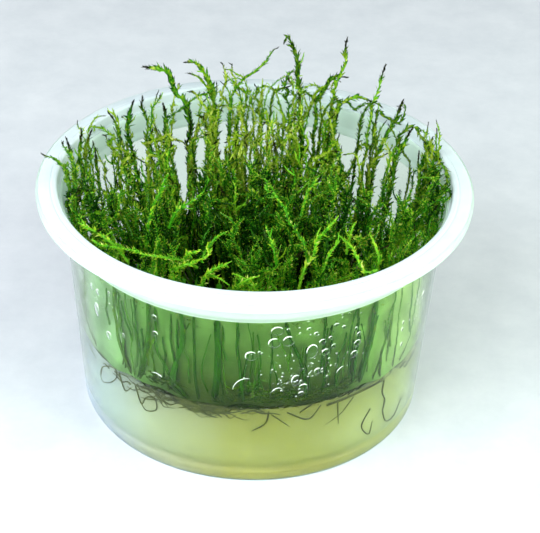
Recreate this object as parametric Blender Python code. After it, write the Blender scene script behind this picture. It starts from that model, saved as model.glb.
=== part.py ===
"""Moss clump: upright feathery moss shoots rooted in nutrient gel, in a clear moulded culture cup.

Lengths below are millimetres. The origin is the middle of the cup's base, +Z is up and the side
that faces the viewer is -Y.
"""

import math
import random

import bmesh
import bpy
from mathutils import Vector

MM = 0.001
GAP = 0.3  # left between pieces that touch

# The cup: a thin moulded wall that widens upwards to a shouldered neck and a flat flange.
CUP_HEIGHT = 56.5
FLANGE_RADIUS = 50.0
MOUTH_RADIUS = 45.1  # the flange's inner edge
WALL = 0.8
FLOOR = 1.0
BASE_RADIUS = 40.3  # outside, where the wall meets the rounded base edge
BASE_ROUND = 2.6
SHOULDER_Z = 47.8  # where the wall steps out to the neck
SHOULDER_RADIUS = 43.55
NECK_RADIUS = 44.7
LEDGE_Z = 53.8  # the lid's seat inside the neck
FLANGE_DROP = 0.6  # the flange's top falls this much to its outer edge
SKIRT_BOTTOM = 53.4
CUP_SEGMENTS = 48

# The gel fills the bottom of the cup and creeps up the wall at its edge.
GEL_TOP = 20.8
MENISCUS = 0.6
MENISCUS_WIDTH = 3.0
GEL_EDGE_ROUND = 2.0

# The moss stands in tufts: one in the middle, and a ring of eight that fan out towards the wall.
TUFT_ROOT_Z = GEL_TOP + MENISCUS + GAP
CENTRE_RADIUS = 14.0
RING_INNER_RADIUS = CENTRE_RADIUS + GAP + 0.1
RING_TUFTS = 8
ROOT_RADIUS = 37.0
CANOPY_RADIUS = 39.4  # to the ring's outer side, at the sides of the cup
CANOPY_LEAN = 2.3  # the ring reaches this much further in front and less at the back
ROOT_PINCH = 0.84  # a tuft's width at the gel, as a share of its width above
MIDDLE_Z = 37.0
CANOPY_Z = 57.0  # tips of the common shoots, in the middle
CANOPY_RISE = 3.0  # higher at the back, lower in front
FRONT_DROOP = 3.5  # lower still along the front wall, where the flange's edge stays in sight
DROOP_START = 25.0
LOCK_DEPTH = 10.0  # how far the canopy parts between two locks of shoots
LOCKS_ACROSS = 4  # locks of shoots along each side of a ring tuft

# Single shoots that stand out of the canopy.
SHOOT_RADIUS = 0.85
SHOOT_START_Z = 41.0  # their feet are inside the tuft
FOOT_DRAW = 0.9  # and nearer the cup's axis than the first bend, by this share
SINGLE_SHOOTS = 6  # to each ring tuft, besides its tall ones
SHOOT_SEED = 11
TALL_SIDES = 5
COMMON_SIDES = 4
COMMON_POINTS = 3  # a common shoot is given by its foot, one bend and its tip
STEPS_PER_BEND = 2

RING_NAMES = (
    "moss_tuft_right",
    "moss_tuft_back_right",
    "moss_tuft_back",
    "moss_tuft_back_left",
    "moss_tuft_left",
    "moss_tuft_front_left",
    "moss_tuft_front",
    "moss_tuft_front_right",
)

# The tall shoots that give the clump its outline, each as the points that its stem bends through.
TALL_SHOOTS = {
    "moss_tuft_left": (
        ((-41.5, -4, 52), (-42.6, -3, 57.5), (-44.5, -2, 60.5), (-48.5, 0, 61.5)),
        ((-41.5, 4, 48), (-42, 4, 56), (-43.5, 5, 63)),
        ((-39.5, 8, 47), (-41, 9, 55), (-40.5, 10, 62.5)),
        ((-39, 11.5, 46), (-40, 11.5, 54), (-38.5, 11.5, 61.5)),
        ((-36.5, 8.5, 46), (-37, 9, 53), (-37.5, 9, 58)),
    ),
    "moss_tuft_back_left": (
        ((-31.5, 20, 50), (-33, 20, 57), (-35, 20, 61.5)),
        ((-29, 24, 44), (-31, 24, 54.5), (-29.5, 23, 63)),
        ((-26, 26, 42), (-26.5, 28.5, 51.5), (-28, 30, 60.5)),
        ((-21.5, 26, 46), (-21.5, 26, 52.5), (-22.5, 26, 61)),
        ((-21, 23, 46), (-20.5, 24, 58.5), (-16.5, 25.5, 61), (-20.5, 29, 66), (-26.5, 30, 69)),
        ((-13.5, 28.5, 50), (-13.8, 30, 58), (-11.7, 30, 63), (-13.5, 30, 68), (-16, 30, 70.5)),
        ((-15, 27, 48), (-13.8, 31, 62), (-14.3, 31, 65), (-17, 31, 66.5)),
    ),
    "moss_tuft_back": (
        ((-6, 31, 48), (-6, 32, 60.5), (-0.5, 32, 67.5), (4, 32, 73.5)),
        ((-2.5, 34, 47), (-2, 34, 58), (1, 33.5, 63.5), (3.5, 33, 62)),
        ((9.5, 28, 50), (9.5, 29, 60), (9, 30, 69), (6, 30, 77)),
        ((9.2, 29.5, 64), (9.5, 30.5, 70), (7.5, 31.5, 75)),
        ((3, 34, 50), (4, 34.5, 60), (8, 34, 62.5)),
    ),
    "moss_tuft_back_right": (
        ((14, 30, 50), (14.5, 31, 60.5), (18, 31, 66.5), (21, 31.5, 66.5)),
        ((19, 29, 50), (18, 29, 62.5), (20.5, 29, 71.5), (20.5, 29, 78)),
        ((18, 26, 50), (19.5, 26.5, 61), (23.5, 27, 63.5), (27.5, 27, 62.5)),
        ((26.5, 25, 50), (27.5, 26.5, 61.5), (29.5, 28, 68.5), (30, 28, 72)),
        ((29, 22, 50), (33, 23, 60), (34.5, 24, 64.5)),
    ),
    "moss_tuft_right": (
        ((32, 11, 48), (33, 12, 56), (36, 13, 63)),
        ((34, 9, 48), (35.5, 10, 58), (37.5, 11.5, 63.5), (39.5, 12, 60.5)),
        ((37.5, 4, 48), (37.7, 5, 55), (37.5, 6, 61)),
        ((39, 0, 48), (40, 0.5, 58), (41.5, 1, 60.5), (42.6, 0.5, 58)),
        ((40, -4, 48), (42, -3.5, 55), (44, -3.5, 58)),
    ),
    "moss_tuft_front_left": (((-33, -22, 46), (-35, -23, 54), (-33, -25, 58)),),
    "moss_tuft_front": (((6, -30, 46), (7, -31, 54), (11, -32, 58)),),
    "moss_tuft_front_right": (((24, -27, 46), (25, -28, 54), (29, -28, 57.5)),),
    "moss_tuft_centre": (
        ((-6, 2, 46), (-6, 3, 55), (-7, 5, 61)),
        ((4, 4, 46), (5, 6, 56), (4, 7, 62)),
        ((3, -5, 46), (4, -6, 54), (7, -7, 59)),
        ((-5, -6, 46), (-6, -7, 54), (-8, -7, 58.5)),
    ),
}


def clear_the_scene():
    for ob in list(bpy.data.objects):
        bpy.data.objects.remove(ob, do_unlink=True)


def finish(name, colour, roughness):
    """A plain non-metal material of one colour."""
    material = bpy.data.materials.new(name)
    material.use_nodes = True
    shader = material.node_tree.nodes["Principled BSDF"]
    shader.inputs["Base Color"].default_value = (*colour, 1.0)
    shader.inputs["Roughness"].default_value = roughness
    shader.inputs["Metallic"].default_value = 0.0
    return material


def add_object(name, mesh, material):
    ob = bpy.data.objects.new(name, mesh)
    bpy.context.scene.collection.objects.link(ob)
    mesh.materials.append(material)
    return ob


def arc(centre_r, centre_z, radius, start_degrees, end_degrees, steps):
    """Points (r, z) of a profile's rounded corner, both ends included."""
    points = []
    for i in range(steps + 1):
        turn = math.radians(start_degrees + (end_degrees - start_degrees) * i / steps)
        points.append((centre_r + radius * math.cos(turn), centre_z + radius * math.sin(turn)))
    return points


def turned(name, profile, material):
    """A solid of revolution. The profile starts and ends on the axis and runs down its outer side."""
    mesh = bpy.data.meshes.new(name)
    points = [(r * MM, 0.0, z * MM) for r, z in profile]
    mesh.from_pydata(points, [(i, i + 1) for i in range(len(points) - 1)], [])
    ob = add_object(name, mesh, material)
    screw = ob.modifiers.new("turn", "SCREW")
    screw.axis = "Z"
    screw.steps = CUP_SEGMENTS
    screw.render_steps = CUP_SEGMENTS
    screw.use_merge_vertices = True
    screw.merge_threshold = 0.00001
    screw.use_smooth_shade = True
    return ob


def inner_wall_radius(z):
    """The cup's inside radius at a height, for the pieces that stand in it."""
    bottom = BASE_RADIUS - WALL
    top = SHOULDER_RADIUS - WALL
    share = (min(z, SHOULDER_Z) - BASE_ROUND) / (SHOULDER_Z - BASE_ROUND)
    return bottom + (top - bottom) * share


def culture_cup():
    inner_round = BASE_ROUND - WALL
    outer_edge = arc(BASE_RADIUS - BASE_ROUND, BASE_ROUND, BASE_ROUND, 0, -90, 4)
    floor_edge = arc(BASE_RADIUS - WALL - inner_round, FLOOR + inner_round, inner_round, -90, 0, 3)
    skirt_inner = FLANGE_RADIUS - WALL
    flange_under = CUP_HEIGHT - FLANGE_DROP - WALL
    neck_inner = NECK_RADIUS - WALL
    profile = [(0.0, FLOOR)]
    profile += floor_edge
    profile += [
        (SHOULDER_RADIUS - WALL, SHOULDER_Z + 0.3),
        (neck_inner - 0.2, SHOULDER_Z + 1.4),
        (neck_inner, LEDGE_Z - 0.2),
        (MOUTH_RADIUS - 0.3, LEDGE_Z + 0.2),
        (MOUTH_RADIUS, CUP_HEIGHT - 0.3),
        (MOUTH_RADIUS + 0.3, CUP_HEIGHT),
        (FLANGE_RADIUS - 0.4, CUP_HEIGHT - FLANGE_DROP),
        (FLANGE_RADIUS, CUP_HEIGHT - FLANGE_DROP - 0.4),
        (FLANGE_RADIUS - 0.1, SKIRT_BOTTOM),
        (skirt_inner - 0.1, SKIRT_BOTTOM),
        (skirt_inner - 0.1, flange_under),
        (MOUTH_RADIUS + 0.9, flange_under + 0.2),
        (MOUTH_RADIUS + 0.6, LEDGE_Z),
        (NECK_RADIUS, LEDGE_Z - 1.0),
        (NECK_RADIUS - 0.2, SHOULDER_Z + 0.8),
        (SHOULDER_RADIUS, SHOULDER_Z - 0.4),
    ]
    profile += outer_edge
    profile.append((0.0, 0.0))
    clear_plastic = finish("clear_polypropylene", (0.82, 0.92, 0.88), 0.25)
    return turned("culture_cup", profile, clear_plastic)


def nutrient_gel():
    bottom = FLOOR + GAP
    foot_radius = inner_wall_radius(BASE_ROUND) - GAP
    top_radius = inner_wall_radius(GEL_TOP + MENISCUS) - GAP
    foot_centre = foot_radius - GEL_EDGE_ROUND
    profile = [
        (0.0, GEL_TOP),
        (top_radius - MENISCUS_WIDTH, GEL_TOP),
        (top_radius - MENISCUS_WIDTH / 3, GEL_TOP + MENISCUS / 4),
        (top_radius, GEL_TOP + MENISCUS),
    ]
    profile += arc(foot_centre, bottom + GEL_EDGE_ROUND, GEL_EDGE_ROUND, 0, -90, 3)
    profile.append((0.0, bottom))
    return turned("nutrient_gel", profile, finish("agar_gel", (0.55, 0.6, 0.36), 0.3))


def canopy_height(x, y):
    droop = FRONT_DROOP * max(0.0, -y - DROOP_START) / (CANOPY_RADIUS - DROOP_START)
    return CANOPY_Z + CANOPY_RISE * y / CANOPY_RADIUS - droop


def ring_corner(turn, share_out, share_round, half_width, pinch):
    """A point of a ring tuft's plan: share_out from inner to outer side, share_round from -1 to 1."""
    reach = CANOPY_RADIUS - CANOPY_LEAN * math.sin(turn)
    outer = ROOT_RADIUS + (reach - ROOT_RADIUS) * (1 if pinch == 1 else 0.35)
    inner = RING_INNER_RADIUS + (1 - pinch) * 20
    radius = inner + (outer - inner) * share_out
    margin = math.asin((GAP / 2 + 0.05) / radius)
    angle = turn + (half_width - margin) * share_round * pinch
    return Vector((radius * math.cos(angle), radius * math.sin(angle), 0.0))


def close_walls(bm, loops):
    """Joins a tuft's outline loops, from the canopy's edge down, and closes the bottom."""
    count = len(loops[0])
    for upper, lower in zip(loops, loops[1:]):
        for i in range(count):
            j = (i + 1) % count
            bm.faces.new((upper[i], lower[i], lower[j], upper[j]))
    bm.faces.new(list(reversed(loops[-1])))


def ring_tuft_mesh(name, turn, dice):
    """A fan of shoots seen as one mass: pinched at the gel, with a canopy of pointed locks."""
    half_width = math.pi / RING_TUFTS
    steps = 2 * LOCKS_ACROSS
    bm = bmesh.new()
    grid = []
    for i in range(steps + 1):
        row = []
        for j in range(steps + 1):
            place = ring_corner(turn, i / steps, 2 * j / steps - 1, half_width, 1)
            crown = canopy_height(place.x, place.y)
            if i % 2 and j % 2:
                height = crown + dice.uniform(-2.0, 2.0)
            else:
                height = crown - LOCK_DEPTH + dice.uniform(-1.5, 1.5)
            row.append(bm.verts.new((place.x, place.y, height)))
        grid.append(row)
    for i in range(steps):
        for j in range(steps):
            a, b, c, d = grid[i][j], grid[i + 1][j], grid[i + 1][j + 1], grid[i][j + 1]
            # Each quad is cut along the diagonal that meets its lock's tip.
            if (i % 2) == (j % 2):
                bm.faces.new((a, b, c))
                bm.faces.new((a, c, d))
            else:
                bm.faces.new((a, b, d))
                bm.faces.new((b, c, d))
    outline = [(i, 0) for i in range(steps)] + [(steps, j) for j in range(steps)]
    outline += [(i, steps) for i in range(steps, 0, -1)] + [(0, j) for j in range(steps, 0, -1)]
    loops = [[grid[i][j] for i, j in outline]]
    for height, pinch in ((MIDDLE_Z, 0.95), (TUFT_ROOT_Z, ROOT_PINCH)):
        loop = []
        for i, j in outline:
            place = ring_corner(turn, i / steps, 2 * j / steps - 1, half_width, pinch)
            loop.append(bm.verts.new((place.x, place.y, height)))
        loops.append(loop)
    close_walls(bm, loops)
    return to_mesh(name, bm)


def centre_tuft_mesh(name, dice):
    around = 16
    rings = (0.28, 0.5, 0.76, 1.0)
    bm = bmesh.new()
    middle = bm.verts.new((0.0, 0.0, CANOPY_Z - LOCK_DEPTH))
    loops = []
    for level, share in enumerate(rings):
        loop = []
        for k in range(around):
            angle = 2 * math.pi * k / around
            x = CENTRE_RADIUS * share * math.cos(angle)
            y = CENTRE_RADIUS * share * math.sin(angle)
            tip = (level == 0 and k % 4 == 0) or (level == 2 and k % 2 == 0)
            drop = dice.uniform(-2.0, 2.0) if tip else -LOCK_DEPTH + dice.uniform(-1.5, 1.5)
            loop.append(bm.verts.new((x, y, canopy_height(x, y) + drop)))
        loops.append(loop)
    for k in range(around):
        bm.faces.new((middle, loops[0][k], loops[0][(k + 1) % around]))
    for inner, outer in zip(loops, loops[1:]):
        for k in range(around):
            j = (k + 1) % around
            bm.faces.new((inner[k], outer[k], outer[j]))
            bm.faces.new((inner[k], outer[j], inner[j]))
    walls = [loops[-1]]
    for height, pinch in ((MIDDLE_Z, 0.97), (TUFT_ROOT_Z, ROOT_PINCH)):
        radius = CENTRE_RADIUS * pinch
        loop = []
        for k in range(around):
            angle = 2 * math.pi * k / around
            loop.append(bm.verts.new((radius * math.cos(angle), radius * math.sin(angle), height)))
        walls.append(loop)
    close_walls(bm, walls)
    return to_mesh(name, bm)


def to_mesh(name, bm):
    """Writes a bmesh modelled in millimetres as a mesh in metres, with its faces pointing out."""
    bmesh.ops.recalc_face_normals(bm, faces=bm.faces)
    bmesh.ops.scale(bm, vec=(MM, MM, MM), verts=bm.verts)
    mesh = bpy.data.meshes.new(name)
    bm.to_mesh(mesh)
    bm.free()
    return mesh


def curve_through(points, steps):
    """A smooth curve through the given points, with some steps between each pair of them."""
    way = [Vector(p) for p in points]
    way = [2 * way[0] - way[1]] + way + [2 * way[-1] - way[-2]]
    curve = []
    for a, b, c, d in zip(way, way[1:], way[2:], way[3:]):
        for i in range(steps):
            t = i / steps
            straight = 2 * b + (c - a) * t
            bent = (2 * a - 5 * b + 4 * c - d) * t**2 + (3 * b - a - 3 * c + d) * t**3
            curve.append(0.5 * (straight + bent))
    curve.append(way[-2])
    return curve


def shoot_mesh(name, points):
    """One shoot: a tapering stem with its leaves taken in, closed at the foot, pointed at the tip."""
    sides = TALL_SIDES if len(points) > COMMON_POINTS else COMMON_SIDES
    path = curve_through(points, STEPS_PER_BEND)
    bm = bmesh.new()
    rings = []
    for i, place in enumerate(path[:-1]):
        ahead = (path[i + 1] - path[max(i - 1, 0)]).normalized()
        side = ahead.cross(Vector((0.31, 0.95, 0.0))).normalized()
        front = ahead.cross(side)
        thick = SHOOT_RADIUS * (1.0 - 0.45 * i / len(path))
        ring = []
        for k in range(sides):
            angle = 2 * math.pi * k / sides
            ring.append(bm.verts.new(place + thick * (side * math.cos(angle) + front * math.sin(angle))))
        rings.append(ring)
    tip = bm.verts.new(path[-1])
    bm.faces.new(rings[0])
    for lower, upper in zip(rings, rings[1:]):
        for k in range(sides):
            j = (k + 1) % sides
            bm.faces.new((lower[k], lower[j], upper[j], upper[k]))
    for k in range(sides):
        bm.faces.new((rings[-1][k], rings[-1][(k + 1) % sides], tip))
    return to_mesh(name, bm)


def single_shoots(turn, dice):
    """Common shoots that stand a little out of a ring tuft's canopy, leaning with its fan."""
    half_width = math.pi / RING_TUFTS
    shoots = []
    for _ in range(SINGLE_SHOOTS):
        out = dice.uniform(0.15, 0.8)
        round_ = dice.uniform(-0.72, 0.72)
        foot = ring_corner(turn, out, round_ * 0.9, half_width, 1)
        tip = ring_corner(turn, min(out + 0.1, 0.93), round_, half_width, 1)
        foot.z = SHOOT_START_Z
        tip.z = canopy_height(tip.x, tip.y) + dice.uniform(3.0, 8.0)
        bend = foot.lerp(tip, 0.6)
        bend.z -= 0.5
        shoots.append((foot, bend, tip))
    return shoots


def grow(tuft, shoots):
    """Fuses shoots to the tuft that they stand in."""
    held = bpy.data.collections.new(tuft.name + "_shoots")
    bpy.context.scene.collection.children.link(held)
    for number, points in enumerate(shoots):
        name = f"{tuft.name}_shoot_{number}"
        stem = bpy.data.objects.new(name, shoot_mesh(name, points))
        held.objects.link(stem)
        stem.hide_render = True
        stem.display_type = "WIRE"
    fuse = tuft.modifiers.new("fuse_shoots", "BOOLEAN")
    fuse.operation = "UNION"
    fuse.solver = "EXACT"
    fuse.operand_type = "COLLECTION"
    fuse.collection = held


def tall_shoots(name):
    """The tall shoots of a tuft, each with its foot carried down into the tuft."""
    shoots = []
    for points in TALL_SHOOTS.get(name, ()):
        x, y, z = points[0]
        if z > SHOOT_START_Z + 12:
            shoots.append(points)
        else:
            shoots.append(((x * FOOT_DRAW, y * FOOT_DRAW, SHOOT_START_Z), *points))
    return shoots


def moss():
    dice = random.Random(SHOOT_SEED)
    green = finish("moss_green", (0.09, 0.26, 0.03), 0.75)
    centre = add_object("moss_tuft_centre", centre_tuft_mesh("moss_tuft_centre", dice), green)
    grow(centre, tall_shoots("moss_tuft_centre"))
    for number, name in enumerate(RING_NAMES):
        turn = 2 * math.pi * number / RING_TUFTS
        tuft = add_object(name, ring_tuft_mesh(name, turn, dice), green)
        grow(tuft, tall_shoots(name) + single_shoots(turn, dice))


def main():
    clear_the_scene()
    culture_cup()
    nutrient_gel()
    moss()


main()
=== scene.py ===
"""Looks for the moss clump: feathery moss shoots in nutrient gel, in a clear moulded culture cup."""

import math

import bpy
import numpy as np
from mathutils import Matrix, Vector


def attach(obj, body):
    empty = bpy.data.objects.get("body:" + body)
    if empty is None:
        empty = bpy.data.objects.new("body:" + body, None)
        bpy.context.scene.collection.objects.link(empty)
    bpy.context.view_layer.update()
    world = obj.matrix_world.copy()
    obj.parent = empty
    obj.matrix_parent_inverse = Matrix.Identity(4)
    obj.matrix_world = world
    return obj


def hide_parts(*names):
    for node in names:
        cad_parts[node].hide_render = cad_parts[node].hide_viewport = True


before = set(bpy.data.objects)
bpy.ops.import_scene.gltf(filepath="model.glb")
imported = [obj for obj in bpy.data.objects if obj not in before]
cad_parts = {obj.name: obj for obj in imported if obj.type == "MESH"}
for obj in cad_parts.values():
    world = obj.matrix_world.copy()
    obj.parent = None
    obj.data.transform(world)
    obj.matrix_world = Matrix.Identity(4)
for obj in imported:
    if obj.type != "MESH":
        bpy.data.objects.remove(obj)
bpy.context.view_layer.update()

# Lengths are millimetres and are turned to metres as each mesh is made.
MM = 0.001

# The cup, as turned for the frame, but with a tighter base corner, a shorter skirt and a groove round it,
# as the photograph shows them.
CUP_HEIGHT = 56.5
FLANGE_RADIUS = 50.0
MOUTH_RADIUS = 45.1
WALL = 0.8
FLOOR = 1.0
BASE_RADIUS = 40.3
BASE_ROUND = 1.4
SHOULDER_Z = 47.8
SHOULDER_RADIUS = 43.55
NECK_RADIUS = 44.7
LEDGE_Z = 53.8
FLANGE_DROP = 0.6
NECK_FOOT = 47.0
GROOVE = 0.25
SKIRT_BOTTOM = 53.8
SKIRT_GROOVE_Z = 55.0
SKIRT_GROOVE_DEPTH = 0.5
SKIRT_RIB_TOP = 55.3
SKIRT_EDGE = 0.7
BASE_RING_TOP = 0.6
BASE_RING_INNER = 36.0
PROFILE_ROUND = 0.35
AXIS_RADIUS = 0.02
CUP_SEGMENTS = 160

# The gel.
GAP = 0.3
GEL_SKIN = 0.25
GEL_GRIP_TOP = 3.4
GEL_TOP = 20.8
MENISCUS = 0.9
MENISCUS_REACH = 4.0
# Shoots start this far down in the gel's top.
ROOT_Z = GEL_TOP - 0.3

# The moss canopy.
CANOPY_Z = 57.0
CANOPY_RISE = 3.0
FRONT_DROOP = 3.5
DROOP_START = 25.0
CANOPY_RADIUS = 39.4

# Camera, fitted to the cup's rims and base in the photograph.
PHOTO_WIDTH = 540
PHOTO_HEIGHT = 533
FOCAL_PIXELS = 1800.0
SENSOR_WIDTH = 36.0
CAMERA_DISTANCE = 443.9
CAMERA_ELEVATION = 37.34
CAMERA_YAW = 0.54
CAMERA_RAISE = 3.47
CAMERA_ROLL = -1.51


def camera_pose():
    """Where the camera stands, in mm, and which way it is turned."""
    elevation = math.radians(CAMERA_ELEVATION)
    look = Matrix.Rotation(math.radians(90) - elevation, 3, "X")
    look = look @ Matrix.Rotation(math.radians(-CAMERA_YAW), 3, "Y")
    look = look @ Matrix.Rotation(math.radians(CAMERA_RAISE), 3, "X")
    look = look @ Matrix.Rotation(math.radians(-CAMERA_ROLL), 3, "Z")
    place = Vector((0.0, -CAMERA_DISTANCE * math.cos(elevation), CAMERA_DISTANCE * math.sin(elevation)))
    return place, look


def behind_pixel(px, py, depth):
    """The point, in mm, that the photograph shows at a pixel if it stands at y = depth."""
    place, look = camera_pose()
    ahead = look @ Vector((px - PHOTO_WIDTH / 2, PHOTO_HEIGHT / 2 - py, -FOCAL_PIXELS))
    return np.array(place + ahead * (depth - place.y) / ahead.y)


def pixels_of(points):
    """Where points in mm fall in the photograph's frame."""
    place, look = camera_pose()
    seen = (points - np.array(place)) @ np.array(look)
    across = PHOTO_WIDTH / 2 - FOCAL_PIXELS * seen[:, 0] / seen[:, 2]
    down = PHOTO_HEIGHT / 2 + FOCAL_PIXELS * seen[:, 1] / seen[:, 2]
    return across, down


# ---------------------------------------------------------------- colours and nodes


def linear(hex_colour):
    """An sRGB hex colour as linear red, green, blue and alpha."""
    parts = [int(hex_colour[i : i + 2], 16) / 255 for i in (1, 3, 5)]
    return (*[c / 12.92 if c <= 0.04045 else ((c + 0.055) / 1.055) ** 2.4 for c in parts], 1.0)


def new_material(name):
    """An empty node material and its tree."""
    material = bpy.data.materials.new(name)
    material.use_nodes = True
    material.node_tree.nodes.clear()
    return material, material.node_tree


def add(tree, kind, settings=None, sockets=None):
    """Adds a node. A socket, by its name or number, is given the output that feeds it or else its value."""
    made = tree.nodes.new(kind)
    for name, value in (settings or {}).items():
        setattr(made, name, value)
    usable = {socket.name: socket for socket in made.inputs if socket.enabled}
    for name, value in (sockets or {}).items():
        socket = usable[name] if isinstance(name, str) else made.inputs[name]
        if isinstance(value, bpy.types.NodeSocket):
            tree.links.new(value, socket)
        else:
            socket.default_value = value
    return made


def result_of(mix):
    """The output of a mix node that its data type uses."""
    return next(socket for socket in mix.outputs if socket.enabled)


def set_stops(ramp, stops):
    """Gives a colour ramp its stops, each a place from 0 to 1 and a hex colour."""
    elements = ramp.color_ramp.elements
    while len(elements) < len(stops):
        elements.new(0.5)
    for element, (place, colour) in zip(elements, stops):
        element.position = place
        element.color = linear(colour)
    return ramp.outputs["Color"]


def mottled(tree, patch_mm, stops, detail=1.0, fineness=0.5):
    """A cloudy pattern with patches of a real size in mm, as a plain value and as a colour between stops."""
    place = add(tree, "ShaderNodeTexCoord").outputs["Object"]
    sockets = {"Vector": place, "Scale": 1 / (patch_mm * MM), "Detail": detail, "Roughness": fineness}
    cloud = add(tree, "ShaderNodeTexNoise", {}, sockets).outputs["Fac"]
    return cloud, set_stops(add(tree, "ShaderNodeValToRGB", {}, {"Fac": cloud}), stops)


def across_the_cup(tree):
    """The object's axes, and how far a place is from the cup's left, 0, to its right, 1."""
    place = add(tree, "ShaderNodeTexCoord").outputs["Object"]
    axes = add(tree, "ShaderNodeSeparateXYZ", {}, {"Vector": place})
    width = BASE_RADIUS * MM
    sockets = {"Value": axes.outputs["X"], "From Min": -width, "From Max": width}
    return axes, add(tree, "ShaderNodeMapRange", {}, sockets).outputs["Result"]


# ---------------------------------------------------------------- materials


def clear_polypropylene():
    """Thin injection-moulded polypropylene: see-through at a wall's thickness, with a faint milky veil."""
    material, tree = new_material("clear_polypropylene")
    place = add(tree, "ShaderNodeTexCoord").outputs["Object"]
    flow_mm, haze_mm = 14.0, 9.0
    flow = add(tree, "ShaderNodeTexNoise", {}, {"Vector": place, "Scale": 1 / (flow_mm * MM), "Detail": 2.0})
    haze = add(
        tree,
        "ShaderNodeTexNoise",
        {},
        {"Vector": place, "Scale": 1 / (haze_mm * MM), "Detail": 4.0, "Roughness": 0.6},
    )
    roughness = add(
        tree,
        "ShaderNodeMapRange",
        {},
        {"Value": haze.outputs["Fac"], "From Min": 0.35, "From Max": 0.7, "To Min": 0.08, "To Max": 0.26},
    )
    bump = add(
        tree, "ShaderNodeBump", {}, {"Height": flow.outputs["Fac"], "Strength": 0.15, "Distance": 0.3 * MM}
    )
    shader = add(
        tree,
        "ShaderNodeBsdfPrincipled",
        {},
        {
            "Base Color": linear("#F2FCEE"),
            "Roughness": roughness.outputs["Result"],
            "IOR": 1.16,
            "Transmission Weight": 1.0,
            "Sheen Weight": 0.35,
            "Sheen Roughness": 0.25,
            "Sheen Tint": linear("#F0FBFF"),
            "Normal": bump.outputs["Normal"],
        },
    )
    add(tree, "ShaderNodeOutputMaterial", {}, {"Surface": shader.outputs["BSDF"]})
    return material


def milky_polypropylene():
    """The same plastic where the flange is folded and thicker: it scatters light and reads white."""
    material, tree = new_material("milky_polypropylene")
    cloud_mm = 6.0
    cloud, colour = mottled(tree, cloud_mm, ((0.3, "#D9E5E9"), (0.7, "#E3EEF1")), 3.0)
    bump = add(tree, "ShaderNodeBump", {}, {"Height": cloud, "Strength": 0.1, "Distance": 0.2 * MM})
    shader = add(
        tree,
        "ShaderNodeBsdfPrincipled",
        {},
        {
            "Base Color": colour,
            "Roughness": 0.22,
            "IOR": 1.3,
            "Transmission Weight": 0.2,
            "Subsurface Weight": 0.5,
            "Subsurface Radius": (1.0, 1.0, 1.0),
            "Subsurface Scale": 0.8 * MM,
            "Normal": bump.outputs["Normal"],
        },
    )
    add(tree, "ShaderNodeOutputMaterial", {}, {"Surface": shader.outputs["BSDF"]})
    return material


def neck_polypropylene():
    """The same plastic in the neck, which is thinner than the flange: half clear, half milky. Its mint tint
    is
    painted light: the moss's green light in the plastic.
    """
    material, tree = new_material("neck_polypropylene")
    cloud_mm = 6.0
    # Painted light: a mint tint for the moss's green light in the plastic.
    _, colour = mottled(tree, cloud_mm, ((0.3, "#DCF2E4"), (0.7, "#E8FAEE")), 3.0)
    shader = add(
        tree,
        "ShaderNodeBsdfPrincipled",
        {},
        {"Base Color": colour, "Roughness": 0.3, "IOR": 1.2, "Transmission Weight": 0.6},
    )
    add(tree, "ShaderNodeOutputMaterial", {}, {"Surface": shader.outputs["BSDF"]})
    return material


def agar_gel():
    """Set agar: milky, pale yellow-green, with a wet skin. Light goes some millimetres into it. It is
    painted cooler and bluer on its left and a little paler on its right: painted light, for the cool light
    that reaches its left and the pale light at its right edge."""
    material, tree = new_material("agar_gel")
    cloud_mm = 12.0
    _, cloud_colour = mottled(tree, cloud_mm, ((0.3, "#F4F4F0"), (0.7, "#FFFFFF")), 3.0)
    _, across = across_the_cup(tree)
    # Painted light: cool blue on the left, pale on the right, across the cup.
    side = add(tree, "ShaderNodeValToRGB", {}, {"Fac": across})
    painted_side_light = set_stops(
        side,
        ((0.04, "#A6AEC8"), (0.22, "#9A9B8A"), (0.45, "#908B4E"), (0.72, "#8A864A"), (0.95, "#9A9F70")),
    )
    tinted = add(
        tree,
        "ShaderNodeMix",
        {"data_type": "RGBA", "blend_type": "MULTIPLY"},
        {"Factor": 1.0, "A": painted_side_light, "B": cloud_colour},
    )
    shader = add(
        tree,
        "ShaderNodeBsdfPrincipled",
        {},
        {
            "Base Color": result_of(tinted),
            "Roughness": 0.25,
            "IOR": 1.34,
            "Subsurface Weight": 1.0,
            "Subsurface Radius": (1.0, 1.0, 0.7),
            "Subsurface Scale": 10.0 * MM,
            "Sheen Weight": 1.0,
            "Sheen Roughness": 0.4,
            "Sheen Tint": linear("#CFE6FF"),
        },
    )
    add(tree, "ShaderNodeOutputMaterial", {}, {"Surface": shader.outputs["BSDF"]})
    return material


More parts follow.
